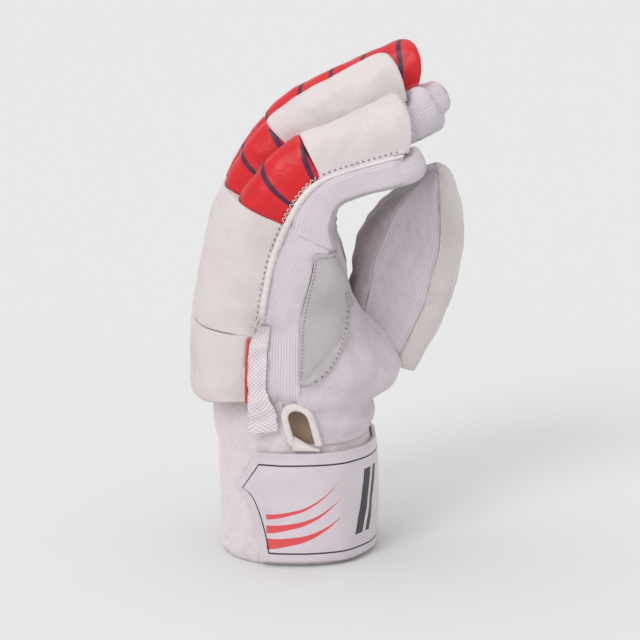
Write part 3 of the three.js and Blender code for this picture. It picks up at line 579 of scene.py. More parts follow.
def pad_section(u, half, base, arch, height, crown):
    """Across and out of a pad's section at shares round it: a low arch below, a crowned top."""
    angle = 2 * math.pi * u
    side = np.sign(np.cos(angle)) * np.abs(np.cos(angle)) ** (2 / crown)
    rise = np.abs(np.sin(angle)) ** (2 / crown)
    under = base + arch * (1 - side**2)
    out = np.where(np.sin(angle) >= 0, base + (height - base) * rise, under)
    return half * side, out


def end_round(away, radius, low):
    """Height share near a pad's sewn end, where it dives to the seam."""
    share = np.clip(away / radius, 0, 1)
    return low + (1 - low) * (1 - (1 - share) ** 2.4) ** (1 / 2.4)


def inflate(piece, place, columns, rows, firm, pressure=3.5, cap=3 * MM, frames=16):
    """Blows a coarse twin of a pad up as cloth, its seams held, and moves the pad along with it."""
    twin = new_piece("stuffing_twin", [(columns, rows, place, 0.1, 0.1)], seal=True)
    rest = read_points(twin)
    held = twin.vertex_groups.new(name="seams")
    for index, weight in enumerate(firm(rest)):
        held.add([index], float(weight), "REPLACE")
    cloth = twin.modifiers.new("stuffing", "CLOTH")
    cloth.settings.use_pressure = True
    cloth.settings.uniform_pressure_force = pressure
    cloth.settings.effector_weights.gravity = 0
    cloth.settings.vertex_group_mass = "seams"
    cloth.settings.tension_stiffness = 12
    cloth.settings.compression_stiffness = 12
    cloth.settings.bending_stiffness = 0.4
    cloth.point_cache.frame_start = 1
    cloth.point_cache.frame_end = frames
    for number in range(1, frames + 1):
        bpy.context.scene.frame_set(number)
    graph = bpy.context.evaluated_depsgraph_get()
    blown = np.array([vert.co[:] for vert in twin.evaluated_get(graph).data.vertices])
    bpy.context.scene.frame_set(1)
    bpy.data.meshes.remove(twin.data)
    move = blown - rest
    move *= np.minimum(1, cap / np.maximum(np.linalg.norm(move, axis=1, keepdims=True), 1e-9))
    tree = KDTree(len(rest))
    for index, point in enumerate(rest):
        tree.insert(point, index)
    tree.balance()
    points = read_points(piece)
    for index, point in enumerate(points):
        near = tree.find_n(point, 8)
        weights = np.array([math.exp(-((distance / (2.6 * MM)) ** 2)) + 1e-6 for _, _, distance in near])
        points[index] += weights @ move[[spot for _, spot, _ in near]] / weights.sum()
    write_points(piece, points)


def roll_heights(plan, distance):
    rows = {"at": (0, 0.35, 0.6, 1), "height": (plan["root"], plan["mid"], plan["mid"], plan["end"])}
    return PAD_HEIGHT * curve(rows, "height", distance / plan["length"])


def finger_roll(plan, part, start, end, material, slot):
    """One stuffed length of a finger's roll, diving to its seams at both ends."""
    last = part == "finger_pad"

    def place(u, v):
        distance = start + (end - start) * v
        near_end = end_round(distance - start, 2 * MM, 0.975)
        if last:
            near_end = near_end * end_round(end - distance, 7 * MM, 0.8)
        else:
            near_end = near_end * end_round(end - distance, 2 * MM, 0.975)
        half = (FINGER_PITCH / 2 - 0.15 * MM) * (0.8 + 0.2 * near_end)
        height = roll_heights(plan, distance) * near_end
        across, out = pad_section(u, half, 0.3 * MM, 0, height, 2.5)
        if last:
            lean = plan["lean"] * np.sin(math.pi * np.clip(out / PAD_HEIGHT, 0, 1) * 0.8)
            distance = distance + lean * smooth(end - 26 * MM, end, distance)
        return plan["line"].place(distance, out, plan["y"] + across)

    rows = int((end - start) / (0.55 * MM))
    name = f"{plan['name']}_{part.replace('pad', 'roll')}"
    piece = new_piece(name, [(110, rows, place, 0.075, end - start)], seal=True)

    def sewn(points):
        marks = np.linspace(start, end, 60)
        spots = plan["line"].place(marks, 0 * marks, plan["y"])
        away = np.linalg.norm((points[:, None] - spots)[..., [0, 2]], axis=2)
        mark = marks[away.argmin(1)]
        ends = np.minimum(mark - start, end - mark)
        return np.clip(np.maximum(1 - ends / (4 * MM), 1 - away.min(1) / (5 * MM)), 0, 1)

    inflate(piece, place, 36, max(int((end - start) / (2.2 * MM)), 8), sewn, 3, 1.2 * MM)

    def puckers(points):
        way = ripple(points * np.array([1, 0.7, 1]), 9 * MM, 7 + int(plan["lane"] * 2), 3)
        dents = ripple(points, 22 * MM, 40 + int(plan["lane"] * 2), 2)
        return (0.12 * way + 0.5 * dents) * MM

    raise_surface(piece, puckers)
    sewn_on(piece, material, slot, f"{plan['name']}_{part}")
    return piece


def back_block(name, start, end, lift, dives, node):
    """A stuffed block across the back of the hand, sewn down along its seams."""
    half = HALF_HAND - 0.3 * MM

    def place(u, v):
        distance = start + (end - start) * v
        low_end, high_end = dives
        rounding = end_round(distance - start, 4 * MM, low_end)
        rounding = rounding * end_round(end - distance, 3 * MM, high_end)
        height = (BACK_ARCH + PAD_HEIGHT) * rounding
        across, out = pad_section(u, half, 0.3 * MM + lift, BACK_ARCH - lift, height, 3)
        return back_line.place(distance, out, across)

    rows = int((end - start) / (0.7 * MM))
    piece = new_piece(name, [(300, rows, place, 0.2, end - start)], seal=True)

    def sewn(points):
        marks = np.linspace(start, end, 60)
        spots = back_line.place(marks, 0 * marks, 0)
        away = np.linalg.norm((points[:, None] - spots)[..., [0, 2]], axis=2)
        mark = marks[away.argmin(1)]
        ends = np.minimum(mark - start, end - mark)
        return np.clip(np.maximum(1 - ends / (5 * MM), 1 - away.min(1) / (9 * MM)), 0, 1)

    inflate(piece, place, 76, max(int((end - start) / (2.6 * MM)), 8), sewn, 2, 1.2 * MM)

    def puckers(points):
        return (0.12 * ripple(points, 11 * MM, 3, 2) + 0.7 * ripple(points, 40 * MM, 5, 2)) * MM - 0.2 * MM

    raise_surface(piece, puckers)
    sewn_on(piece, white_leather, "white_leather", node)
    return piece


back_block("wrist_block", 0, WRIST_PAD_LENGTH, WRIST_PAD_LIFT, (0.95, 0.975), "wrist_pad")
back_block("back_block", WRIST_PAD_LENGTH + 0.05 * MM, HAND_BACK_LENGTH - 0.1 * MM, 0,
           (0.975, 0.985), "back_pad")
for plan in fingers.values():
    finger_roll(plan, "knuckle_pad", 0, KNUCKLE_PAD_LENGTH, red_leather, "red_leather")
    tone = red_leather if plan["name"] == "middle" else white_leather
    slot_name = "red_leather" if plan["name"] == "middle" else "white_leather"
    finger_roll(plan, "finger_pad", KNUCKLE_PAD_LENGTH + 0.3 * MM, plan["length"], tone, slot_name)


# Knitted sleeves and leather floors of the fingers

def sleeve_section(u, half, side, depth, power=2.5):
    """Across and down of a closed sleeve: flat top, flat sides, rounded floor. u starts at the
    near top corner, runs down the near side, under and up the far side, and back over the top."""
    u = np.asarray(u, float)
    corner = np.clip(u * 4 - 1, 0, 1) * math.pi / 2
    other = np.clip(u * 4 - 2, 0, 1) * math.pi / 2
    side_near = np.minimum(u * 4, 1) * side
    y_near = -half * np.abs(np.cos(corner)) ** (2 / power)
    d_near = side_near + (depth - side) * np.sin(corner) ** (2 / power)
    y_far = half * np.sin(other) ** (2 / power)
    d_far = side + (depth - side) * np.abs(np.cos(other)) ** (2 / power)
    rise = np.clip(u * 4 - 3, 0, 1)
    y = np.where(u <= 0.5, y_near, np.where(u <= 0.75, y_far, half))
    down = np.where(u <= 0.5, d_near, np.where(u <= 0.75, d_far, side * (1 - rise)))
    return y, down


def finger_depth(plan, distance):
    share = curve(DEPTH_ROWS, "share", distance / plan["length"])
    web = 4.2 * MM * (1 - smooth(-4 * MM, 8 * MM, distance)) - 2 * MM * (1 - smooth(-3 * MM, 0, distance))
    return plan["root_depth"] + (plan["own_depth"] - plan["root_depth"]) * share + web


def knit_waves(points):
    """The soft unevenness that all knitted sides share, so that they run on into each other."""
    return (0.22 * ripple(points, 9 * MM, 12, 2) + 0.45 * ripple(points, 20 * MM, 31, 2)) * MM


def finger_sleeve(plan):
    """The knitted sides and tip, and the leather on the palm side, of one finger."""
    name = plan["name"]
    wall_end = plan["length"] - 3 * MM
    floor_end = plan["length"] - 5 * MM
    middle = plan["line"].place(plan["length"] * 0.5, -plan["own_depth"] / 2, plan["y"])

    def side(u, distance):
        low = finger_depth(plan, distance)
        y, down = sleeve_section(u, plan["half"], low - 5 * MM, low)
        tuck = 3 * MM * np.clip(1 - np.minimum(u, 1 - u) * 12, 0, 1)
        dive = 0.2 * smooth(wall_end - 6 * MM, wall_end, distance) + 0.16 * tuck / (3 * MM)
        dive = dive + 0.11 * (1 - smooth(-1.5 * MM, 6 * MM, distance)) - 0.025
        return plan["line"].place(distance, tuck - down, plan["y"] + y * (1 - dive))

    def near(u, v):
        return side(0.30 * u, -1.5 * MM + (wall_end + 1.5 * MM) * v)

    def far(u, v):
        return side(0.70 + 0.30 * u, wall_end * v)

    def floor(u, v):
        return side(0.30 + 0.40 * u, -7 * MM + (floor_end + 7 * MM) * v)

    def tip(u, v):
        start = floor_end - 6 * MM
        dome = 6 * MM
        stretch = np.clip(v / 0.72, 0, 1)
        bow = np.clip((v - 0.72) / 0.28, 0, 1) * math.pi / 2
        distance = start + (plan["whole"] - dome - start) * stretch + dome * np.sin(bow)
        past = smooth(plan["length"] - 2 * MM, plan["length"] + 4 * MM, distance)
        narrow = 1 - 0.2 * smooth(plan["length"] - 4 * MM, plan["whole"], distance)
        low = finger_depth(plan, distance) * (1 - 0.04 * past)
        high = plan["rise"] * past - 1.2 * MM * (1 - past)
        angle = 2 * math.pi * u
        side_share = np.sign(np.cos(angle)) * np.abs(np.cos(angle)) ** 0.72
        drop_share = np.sign(np.sin(angle)) * np.abs(np.sin(angle)) ** 0.72
        shut = np.maximum(np.cos(bow), 0) ** 0.7
        out = (high - low) / 2 - (low + high) / 2 * drop_share * shut
        return plan["line"].place(distance, out, plan["y"] + plan["half"] * narrow * side_share * shut)

    rows = int(wall_end / (1.1 * MM))
    width = plan["own_depth"] + 5 * MM
    around = 72 * MM
    tip_length = plan["whole"] - floor_end + 6 * MM
    sides = [(24, rows, near, width, wall_end), (24, rows, far, width, wall_end),
             (84, 44, tip, around, tip_length)]
    sleeve = new_piece(f"{name}_sleeve", sides, inside=middle)

    sewn_sheet(sleeve, knit_waves, 1.3 * MM, knit, "ribbed_knit", f"{name}_finger_knit")
    under = new_piece(f"{name}_palm_side", [(34, rows, floor, width, wall_end)], inside=middle)
    sewn_sheet(under, lambda points: 0.5 * MM * ripple(points, 12 * MM, 15, 3) + 0.3 * MM, 1.3 * MM,
               grey_leather, "grey_leather", f"{name}_finger_leather")


for plan in fingers.values():
    finger_sleeve(plan)


# The hand between the wristband and the knuckles

SEAM_MARKS = np.linspace(-30 * MM, HAND_BACK_LENGTH + 20 * MM, 240)
SEAM_POINTS = back_line.place(SEAM_MARKS, 0, 0)


def seam_x(z):
    """Where the seam under the back pads lies at a height, in the part's own x."""
    return np.interp(z, SEAM_POINTS[:, 2], SEAM_POINTS[:, 0]) - SHIFT_X


def hand_outline(z):
    """The hand's section at a height, from the near back edge round the palm to the far one."""
    at = (z - CUFF_HEIGHT) / (HAND_TOP_Z - CUFF_HEIGHT)
    back = seam_x(z)
    half = curve(HAND_ROWS, "half", at) * HALF_HAND
    floor = curve(HAND_ROWS, "depth", at) * HAND_DEPTH + HAND_BACK_X - back
    side = SIDE_PANEL_WIDTH * curve(HAND_ROWS, "side", at) / 0.3 + HAND_BACK_X - back
    peak = curve(HAND_ROWS, "peak", at) * HALF_HAND
    side = np.minimum(side, floor * 0.8)
    turn = np.linspace(0, math.pi / 2, 60)
    power = 2 / (2.5 + 4 * smooth(120 * MM, 148 * MM, z))
    near = peak - (peak + half) * np.cos(turn) ** power
    near[-1] = peak
    drop = side + (floor - side) * np.sin(turn) ** power
    far = peak + (half - peak) * np.cos(turn[::-1]) ** power
    y = np.concatenate([[-half], near, far[1:], [half]])
    down = np.concatenate([[0], drop, drop[::-1][1:], [0]])
    return np.stack([back + down, y], -1)


def stretch_of(line, share):
    """Points of a polyline at shares of its length."""
    step = np.concatenate([[0], np.cumsum(np.linalg.norm(np.diff(line, axis=0), axis=1))])
    at = share * step[-1]
    return np.stack([np.interp(at, step, line[:, 0]), np.interp(at, step, line[:, 1])], -1)


def part_of(line, x, palm_side, far_x=None):
    """The part of a section to the palm side of x, or the near part to its back side."""
    far_x = x if far_x is None else far_x
    inside = line[:, 0] > x
    first = int(np.argmax(inside))
    t = (x - line[first - 1, 0]) / (line[first, 0] - line[first - 1, 0])
    near_cut = line[first - 1] + t * (line[first] - line[first - 1])
    if not palm_side:
        return np.vstack([line[:first], near_cut])
    last = len(line) - 1 - int(np.argmax(line[::-1, 0] > far_x))
    t = (far_x - line[last, 0]) / (line[last + 1, 0] - line[last, 0])
    far_cut = line[last] + t * (line[last + 1] - line[last])
    return np.vstack([near_cut, line[first:last + 1], far_cut])


def by_height(u, v, height, outline):
    """Points of a sheet whose rows lie level: outline(z) gives each row's line."""
    points = np.zeros((len(u), 3))
    for share in np.unique(np.round(v, 6)):
        row = np.abs(v - share) < 1e-5
        z = height(share)
        spot = stretch_of(outline(z), u[row])
        points[row, 0] = spot[:, 0] + SHIFT_X
        points[row, 1] = spot[:, 1] + SHIFT_Y
        points[row, 2] = z
    return points


def knit_edge(z):
    """Where the knitted side gives way to the palm: further round towards the fingers."""
    turn = smooth(112 * MM, 150 * MM, z) + smooth(144 * MM, 149 * MM, z)
    return SIDE_SEAM_X + 6.5 * MM * turn


def slit_lean(z):
    """How far the slit leans to the palm side at a height: its foot stands further out."""
    return 5.5 * MM * np.clip((SLIT_TOP_Z - z) / (SLIT_TOP_Z - CUFF_HEIGHT), 0, 1.2)


def palm_edge(z):
    """The palm's near edge in x: the side seam, or the slit's binding below it."""
    arch = CUFF_HEIGHT + SLIT_HEIGHT - SLIT_WIDTH / 2
    reach = SLIT_WIDTH / 2 + BINDING_WIDTH - 1.2 * MM
    round_top = SLIT_X + slit_lean(z) + math.sqrt(max(reach**2 - max(z - arch, 0) ** 2, 0))
    seam = knit_edge(z) - 1.5 * MM
    if z >= HAND_START_Z:
        return seam
    return max(round_top, seam * smooth(HAND_START_Z - 6 * MM, HAND_START_Z, z))


def cut_off(piece, spot, way):
    """Drops what lies beyond a plane through a spot."""
    def cut(bm):
        parts = bm.verts[:] + bm.edges[:] + bm.faces[:]
        bmesh.ops.bisect_plane(bm, geom=parts, plane_co=Vector(spot), plane_no=Vector(way), clear_outer=True)

    edited(piece, cut)


def trim_at_knuckles(piece):
    """Cuts a sheet along the plane where the fingers start."""
    way = Vector((math.cos(KNUCKLE_TURN), 0, math.sin(KNUCKLE_TURN)))
    cut_off(piece, Vector((KNUCKLE[0] + SHIFT_X, 0, KNUCKLE[1])) + 0.8 * MM * way, way)


def build_palm():
    low = CUFF_HEIGHT + 0.3 * MM

    def across(z):
        above = smooth(HAND_START_Z - 3 * MM, HAND_START_Z + 3 * MM, z)
        far = min(palm_edge(z), SLIT_X - 4 * MM + 14 * MM * above)
        return part_of(hand_outline(z), palm_edge(z), True, far)

    def place(u, v):
        return by_height(u, v, lambda t: low + (HAND_TOP_Z - low) * t, across)

    middle = (SHIFT_X + 10 * MM, SHIFT_Y, 100 * MM)
    piece = new_piece("palm", [(190, 120, place, 0.16, HAND_TOP_Z - low)], inside=middle)
    trim_at_knuckles(piece)

    def folds(points):
        z = points[:, 2] / MM
        heel = crease(points, [(22, 116), (30, 108), (38, 99), (42, 92)], 3.2)
        crook = crease(points, [(12, 118), (20, 112), (28, 100)], 4.0)
        wrist = crease(points, [(8, 84), (20, 80), (32, 80)], 4.5)
        lower = crease(points, [(8, 72), (18, 68), (30, 70)], 3.0)
        notch = crease(points, [(25, 138), (21.5, 131), (22.5, 126)], 2.2)
        drape = crease(points, [(24, 124), (31, 113), (38, 104)], 1.8)
        plump = crease(points, [(18, 98), (26, 92)], 10)
        soft = ripple(points, 26 * MM, 21, 3)
        lines = 3.0 * notch + 1.4 * drape + 1.7 * heel + 1.3 * crook + 1.2 * wrist + 0.9 * lower
        height = 1.3 * plump + 0.8 * soft - 0.5 - lines
        return height * MM * smooth(57, 62, z)

    sewn_sheet(piece, folds, 1.4 * MM, palm_leather, "palm_leather", "palm_leather")


def build_gusset(name, node, side):
    low = HAND_START_Z - 5.5 * MM

    def strip(z):
        line = part_of(hand_outline(z), knit_edge(z), False)
        tuck = smooth(HAND_START_Z + 4 * MM, low, z)
        back = np.array([line[0, 0], line[0, 1]])
        above = smooth(WRIST_PAD_LENGTH, WRIST_PAD_LENGTH + 4 * MM, z - HAND_START_Z)
        under = 2 * MM + 5 * MM * (1 - above)
        line = np.vstack([back - [under, 0], line])
        line[:, 0] = line[:, 0] * (1 - 0.35 * tuck) + SLIT_X * 0.35 * tuck
        line[:, 1] += 3.5 * MM * tuck
        return line

    def place(u, v):
        points = by_height(u, v, lambda t: low + (HAND_TOP_Z - low) * t, strip)
        if side > 0:
            points[:, 1] = 2 * SHIFT_Y - points[:, 1]
        return points

    middle = (SHIFT_X, SHIFT_Y, 120 * MM)
    piece = new_piece(name, [(34, 120, place, 0.022, HAND_TOP_Z - low)], inside=middle)
    trim_at_knuckles(piece)
    if side < 0:
        corner = (SLIT_X + SHIFT_X - 5 * MM, 0, HAND_START_Z - 5.5 * MM)
        cut_off(piece, corner, (-0.62, 0, -0.78))

    def soft(points):
        gather = np.sin((points[:, 0] - SHIFT_X) / (1.1 * MM)) * smooth(92 * MM, 76 * MM, points[:, 2])
        return knit_waves(points) + 0.35 * gather * MM

    sewn_sheet(piece, soft, 1.4 * MM, knit, "ribbed_knit", node)


build_palm()
build_gusset("little_side_knit", "little_side_gusset", -1)
build_gusset("thumb_side_knit", "thumb_side_gusset", 1)


# Grey wear patch on the near side of the palm

def patch_outline_x(height):
    """Near and far edge of the patch at a height above its lowest point, in the side view."""
    left = SIDE_SEAM_X - 0.3 * MM + 6.8 * MM * smooth(24 * MM, 60 * MM, height)
    share = np.clip(height / PATCH_SIDE_HEIGHT, 0, 1)
    right = SIDE_SEAM_X + 0.4 * MM + PATCH_WIDTH * np.sqrt(np.clip(1 - (1 - share) ** 2, 0, 1))
    return left, np.maximum(right, left + 0.5 * MM)


def patch_point(across, height, lift):
    """A point of the patch: across from edge to edge, height from its lowest point."""
    z = HAND_START_Z + 8 * MM + height
    points = np.zeros((len(across), 3))
    left, right = patch_outline_x(height)
    for share in np.unique(np.round(z, 6)):
        row = np.abs(z - share) < 2e-6
        line = hand_outline(share)
        near = line[: 1 + int(np.argmax(line[:, 0]))]
        limit = np.minimum(right[row], near[-1, 0] - 0.4 * MM)
        x = left[row] + (limit - left[row]) * across[row]
        y = np.interp(x, near[:, 0], near[:, 1])
        points[row] = np.stack([x + SHIFT_X, y + SHIFT_Y - lift, np.full(row.sum(), share)], -1)
    return points


def build_patch():
    def place(u, v):
        return patch_point(u, PATCH_TOP * v, 1.5 * MM)

    middle = (SHIFT_X, SHIFT_Y, 120 * MM)
    piece = new_piece("wear_patch", [(44, 110, place, 0.024, PATCH_HEIGHT)], inside=middle)

    def folds(points):
        left_edge = crease(points, [(1.5, 92), (1.5, 150)], 1.6)
        edge = left_edge + crease(points, [(24, 128), (20, 108), (4, 90)], 1.6)
        return (0.5 * ripple(points, 15 * MM, 52, 3) - 0.5 * np.minimum(edge, 1)) * MM

    raise_surface(piece, folds)
    trim_at_knuckles(piece)
    thicken(piece, 1.2 * MM)
    sewn_on(piece, grey_leather, "grey_leather", "palm_patch")


build_patch()


# Thumb

def thumb_shape(u, distance, shrink=0.0):
    at = distance / THUMB_LENGTH
    depth = curve(THUMB_ROWS, "depth", at) * THUMB_DEPTH
    half = curve(THUMB_ROWS, "half", at) * THUMB_WIDTH / 2
    side = curve(THUMB_ROWS, "side", at) * depth
    y, down = sleeve_section(u, half - shrink, side, depth)
    return thumb_line.place(distance, down, THUMB_CENTRE_Y + y)


def clear_of_hand(piece, margin):
    """Drops the faces of a thumb piece that lie inside the hand."""
    def hidden(face):
        spot = face.calc_center_median()
        if spot.z > HAND_TOP_Z or spot.z < CUFF_HEIGHT:
            return False
        line = hand_outline(spot.z)
        x, y = spot.x - SHIFT_X, spot.y - SHIFT_Y
        order = np.argsort(line[:, 1])
        reach = np.interp(y, line[order, 1], line[order, 0])
        return abs(y) < line[-1, 1] and x < reach - margin

    edited(piece, lambda bm: bmesh.ops.delete(bm, geom=[f for f in bm.faces if hidden(f)], context="FACES"))


def build_thumb():
    middle = thumb_line.place(THUMB_LENGTH * 0.5, THUMB_DEPTH / 2, THUMB_CENTRE_Y)

    def wall(u, v):
        tuck = np.clip(1 - np.minimum(u, 1 - u) * 20, 0, 1) * (1 - 0.5 * smooth(0.95, 1, v))
        points = thumb_shape(u, THUMB_LENGTH * v, 1.5 * MM * tuck)
        turn = thumb_line.turn(THUMB_LENGTH * v)
        slip = 2.5 * MM * tuck
        return points + np.stack([np.sin(turn) * slip, 0 * turn, -np.cos(turn) * slip], -1)

    def near(u, v):
        return wall(0.25 * u, v)

    def far(u, v):
        return wall(0.75 + 0.25 * u, v)

    def floor(u, v):
        return thumb_shape(0.25 + 0.5 * u, THUMB_LENGTH * v)

    def tip(u, v):
        rim = thumb_shape(u * 0.5, np.full(len(u), THUMB_LENGTH))
        twin = thumb_shape(1 - u * 0.5, np.full(len(u), THUMB_LENGTH))
        bow = 1.6 * MM * np.sin(math.pi * v)[:, None] * np.sin(math.pi * u)[:, None] * np.array([0, 0, 1])
        return rim + (twin - rim) * v[:, None] + bow

    sides = [(40, 120, near, 0.028, THUMB_LENGTH), (40, 120, far, 0.028, THUMB_LENGTH),
             (20, 16, tip, 0.02, 0.02)]
    sleeve = new_piece("thumb_sleeve", sides, inside=middle)
    raise_surface(sleeve, lambda points: 0.5 * MM * ripple(points, 13 * MM, 61, 3))
    clear_of_hand(sleeve, 1.5 * MM)
    thicken(sleeve, 1.4 * MM)
    sewn_on(sleeve, knit, "ribbed_knit", "thumb_knit")
    under = new_piece("thumb_palm_side", [(56, 110, floor, 0.05, THUMB_LENGTH)], inside=middle)
    raise_surface(under, lambda points: 0.7 * MM * ripple(points, 14 * MM, 63, 3))
    clear_of_hand(under, 1.5 * MM)
    thicken(under, 1.4 * MM)
    sewn_on(under, grey_leather, "grey_leather", "thumb_leather")

    def pad(u, v):
        distance = THUMB_LENGTH * (1 - 0.004) * v
        at = distance / THUMB_LENGTH
        ends = end_round(THUMB_LENGTH - distance, 9 * MM, 0.45)
        height = curve(THUMB_ROWS, "pad", at) * THUMB_PAD_HEIGHT * ends
        half = curve(THUMB_ROWS, "half", at) * THUMB_WIDTH / 2
        across, out = pad_section(u, half, 0.3 * MM, 0, height, 2.6)
        return thumb_line.place(distance, -out, THUMB_CENTRE_Y + across)

    roll = new_piece("thumb_roll", [(120, 140, pad, 0.09, THUMB_LENGTH)], seal=True)

    def sewn(points):
        return np.clip(1 - (points[:, 2] - 79 * MM) / (8 * MM), 0, 1)

    inflate(roll, pad, 36, 40, sewn, 2, 1.2 * MM)
    raise_surface(roll, lambda points: (0.3 * ripple(points, 10 * MM, 71, 3)
                                        + 0.7 * ripple(points, 30 * MM, 72, 2)) * MM - 0.4 * MM)
    sewn_on(roll, white_leather, "white_leather", "thumb_pad")


build_thumb()


# Wristband, strap and slit binding

def cuff_point(angle, z, grow):
    at = z / CUFF_FULL
    x = np.sign(np.cos(angle)) * np.abs(np.cos(angle)) ** (2 / 2.3)
    y = np.sign(np.sin(angle)) * np.abs(np.sin(angle)) ** (2 / 2.3)
    palm = curve(CUFF_ROWS, "palm", at) * CUFF_DEPTH / 2 + grow
    back = curve(CUFF_ROWS, "back", at) * CUFF_DEPTH / 2 + grow
    half = curve(CUFF_ROWS, "half", at) * CUFF_WIDTH / 2 + grow
    across = CUFF_CENTRE_X + x * np.where(x > 0, palm, back)
    return np.stack([across + SHIFT_X, y * half + SHIFT_Y, z + 0 * x], -1)


def cuff_top(angle):
    """The wristband's upper edge round the wrist: high at the back, low on the palm side."""
    x = cuff_point(angle, np.full_like(angle, CUFF_HEIGHT), 0)[:, 0] - SHIFT_X
    near = np.sin(angle) < 0
    reach = SLIT_WIDTH / 2 + BINDING_WIDTH - 1.2 * MM
    step = smooth(SLIT_X + 1 * MM, SLIT_X - 1 * MM, x)
    tall = CUFF_HEIGHT + CUFF_BACK_RISE * step
    slope = CUFF_HEIGHT + CUFF_BACK_RISE * np.clip(1 - (x - SLIT_X + reach) / (5.5 * MM), 0, 1)
    return np.where(near & (x > SLIT_X - reach), slope, tall)


def build_cuff():
    def place(u, v):
        angle = 2 * math.pi * u
        top = cuff_top(angle)
        return cuff_point(angle, top * v, -0.2 * MM)

    middle = (SHIFT_X, SHIFT_Y, 30 * MM)
    piece = new_piece("wristband", [(260, 84, place, 0.25, CUFF_FULL)], inside=middle)

    def loops(points):
        z = points[:, 2]
        fluff = 0.12 * ripple(points, 3.2 * MM, 81, 2) + 0.6 * ripple(points, 20 * MM, 82, 2)
        rims = np.exp(-((z / (2 * MM)) ** 2))
        return (fluff * (1 - 0.6 * rims) - 0.4) * MM

    raise_surface(piece, loops)
    floor = read_points(piece)
    floor[:, 2] = np.maximum(floor[:, 2], 0)
    write_points(piece, floor)
    thicken(piece, 2.6 * MM)
    sewn_on(piece, towel, "towelling", "cuff")


def strap_reach(angle):
    return cuff_point(angle, np.full_like(angle, 30 * MM), 0)[:, 0] - SHIFT_X


def strap_near_end(height):
    """The strap's shaped end on the near side: x at a height above the strap's lower edge."""
    tip = STRAP_NEAR_END_X - STRAP_POINT_REACH
    low = np.clip(height / STRAP_POINT_HEIGHT, 0, 1)
    curve_in = tip + (STRAP_POINT_REACH + 1 * MM) * np.sin(np.arccos(low ** (1 / 1.4)))
    rise = np.clip((height - STRAP_POINT_HEIGHT) / (STRAP_HEIGHT - STRAP_POINT_HEIGHT), 0, 1)
    return np.where(height < STRAP_POINT_HEIGHT, curve_in, tip + STRAP_POINT_REACH * rise)


def build_strap():
    angles = np.linspace(-math.pi, math.pi, 1441)
    xs = strap_reach(angles)
    near = angles < 0

    printed = []

    def place(u, v):
        height = STRAP_HEIGHT * v
        first = np.interp(strap_near_end(height), xs[near], angles[near])
        far_x = STRAP_FAR_END_X
        last = np.interp(-far_x, -xs[~near], angles[~near])
        angle = first + (last - first) * u
        printed.append((angle * CUFF_WIDTH / 2 + 88 * MM, height))
        lip = 0.5 * MM * np.exp(-(((1 - v) * STRAP_HEIGHT / (1.6 * MM)) ** 2))
        return cuff_point(angle, STRAP_RISE + height, STRAP_THICKNESS + 0.1 * MM + lip)

    middle = (SHIFT_X, SHIFT_Y, 30 * MM)
    piece = new_piece("strap", [(240, 70, place, 0.19, STRAP_HEIGHT)], inside=middle)
    layer = piece.data.uv_layers.new(name="print")
    for loop in piece.data.loops:
        layer.data[loop.index].uv = (printed[0][0][loop.vertex_index], printed[0][1][loop.vertex_index])
    raise_surface(piece, lambda points: (0.45 * ripple(points, 24 * MM, 91, 3) - 0.2) * MM)
    thicken(piece, 1.7 * MM)
    edge = piece.modifiers.new("edge", "BEVEL")
    edge.width = 0.5 * MM
    edge.segments = 2
    edge.limit_method = "ANGLE"
    sewn_on(piece, strap_material, "strap_sheet", "wrist_strap")


build_cuff()
build_strap()


# Binding, welt, piping, net and stitches

def welt_line(distance, out, y):
    """The line of the white welt: up the hand's back seam and on along the little finger's."""
    past = distance > HAND_BACK_LENGTH
    hand = back_line.place(np.minimum(distance, HAND_BACK_LENGTH), out, y)
    finger = fingers["little"]["line"].place(np.maximum(distance - HAND_BACK_LENGTH, 0), out, y)
    return np.where(past[..., None], finger, hand)


def seam_tube(name, line, start, end, out, y, radius, material, slot, *nodes):
    """A round welt sewn along a line of the near side."""
    def place(u, v):
        angle = 2 * math.pi * u
        distance = start + (end - start) * v
        ends = np.sqrt(np.clip(1 - (2 * np.abs(v - 0.5)) ** 30, 0, 1))
        slim = 1 - 0.5 * smooth(WELT_END - 8 * MM, WELT_END + 8 * MM, distance)
        plump = radius * ends * slim * (1 + 0.06 * np.sin(distance / (0.55 * MM)))
        return line(distance, out + plump * np.cos(angle), y + plump * np.sin(angle))

    rows = int((end - start) / (0.5 * MM))
    piece = new_piece(name, [(14, rows, place, 2 * math.pi * radius, end - start)], seal=True)
    return sewn_on(piece, material, slot, *nodes)


def stitch_row(name, points, slot, thread=0.32 * MM, share=0.62, material=white_thread):
    """Small thread stitches end to end along a line, each dipping into the cloth."""
    points = np.asarray(points)
    bm = bmesh.new()
    for start, end in zip(points[:-1], points[1:]):
        middle = Vector((start + end) / 2)
        way = Vector(end - start)
        turn = way.to_track_quat("Z", "Y").to_matrix().to_4x4()
        size = Matrix.Diagonal((thread, thread, way.length * share / 2, 1))
        matrix = Matrix.Translation(middle) @ turn @ size
        bmesh.ops.create_icosphere(bm, subdivisions=1, radius=1.0, matrix=matrix)
    return sewn_on(new_object(name, bm), material, slot)


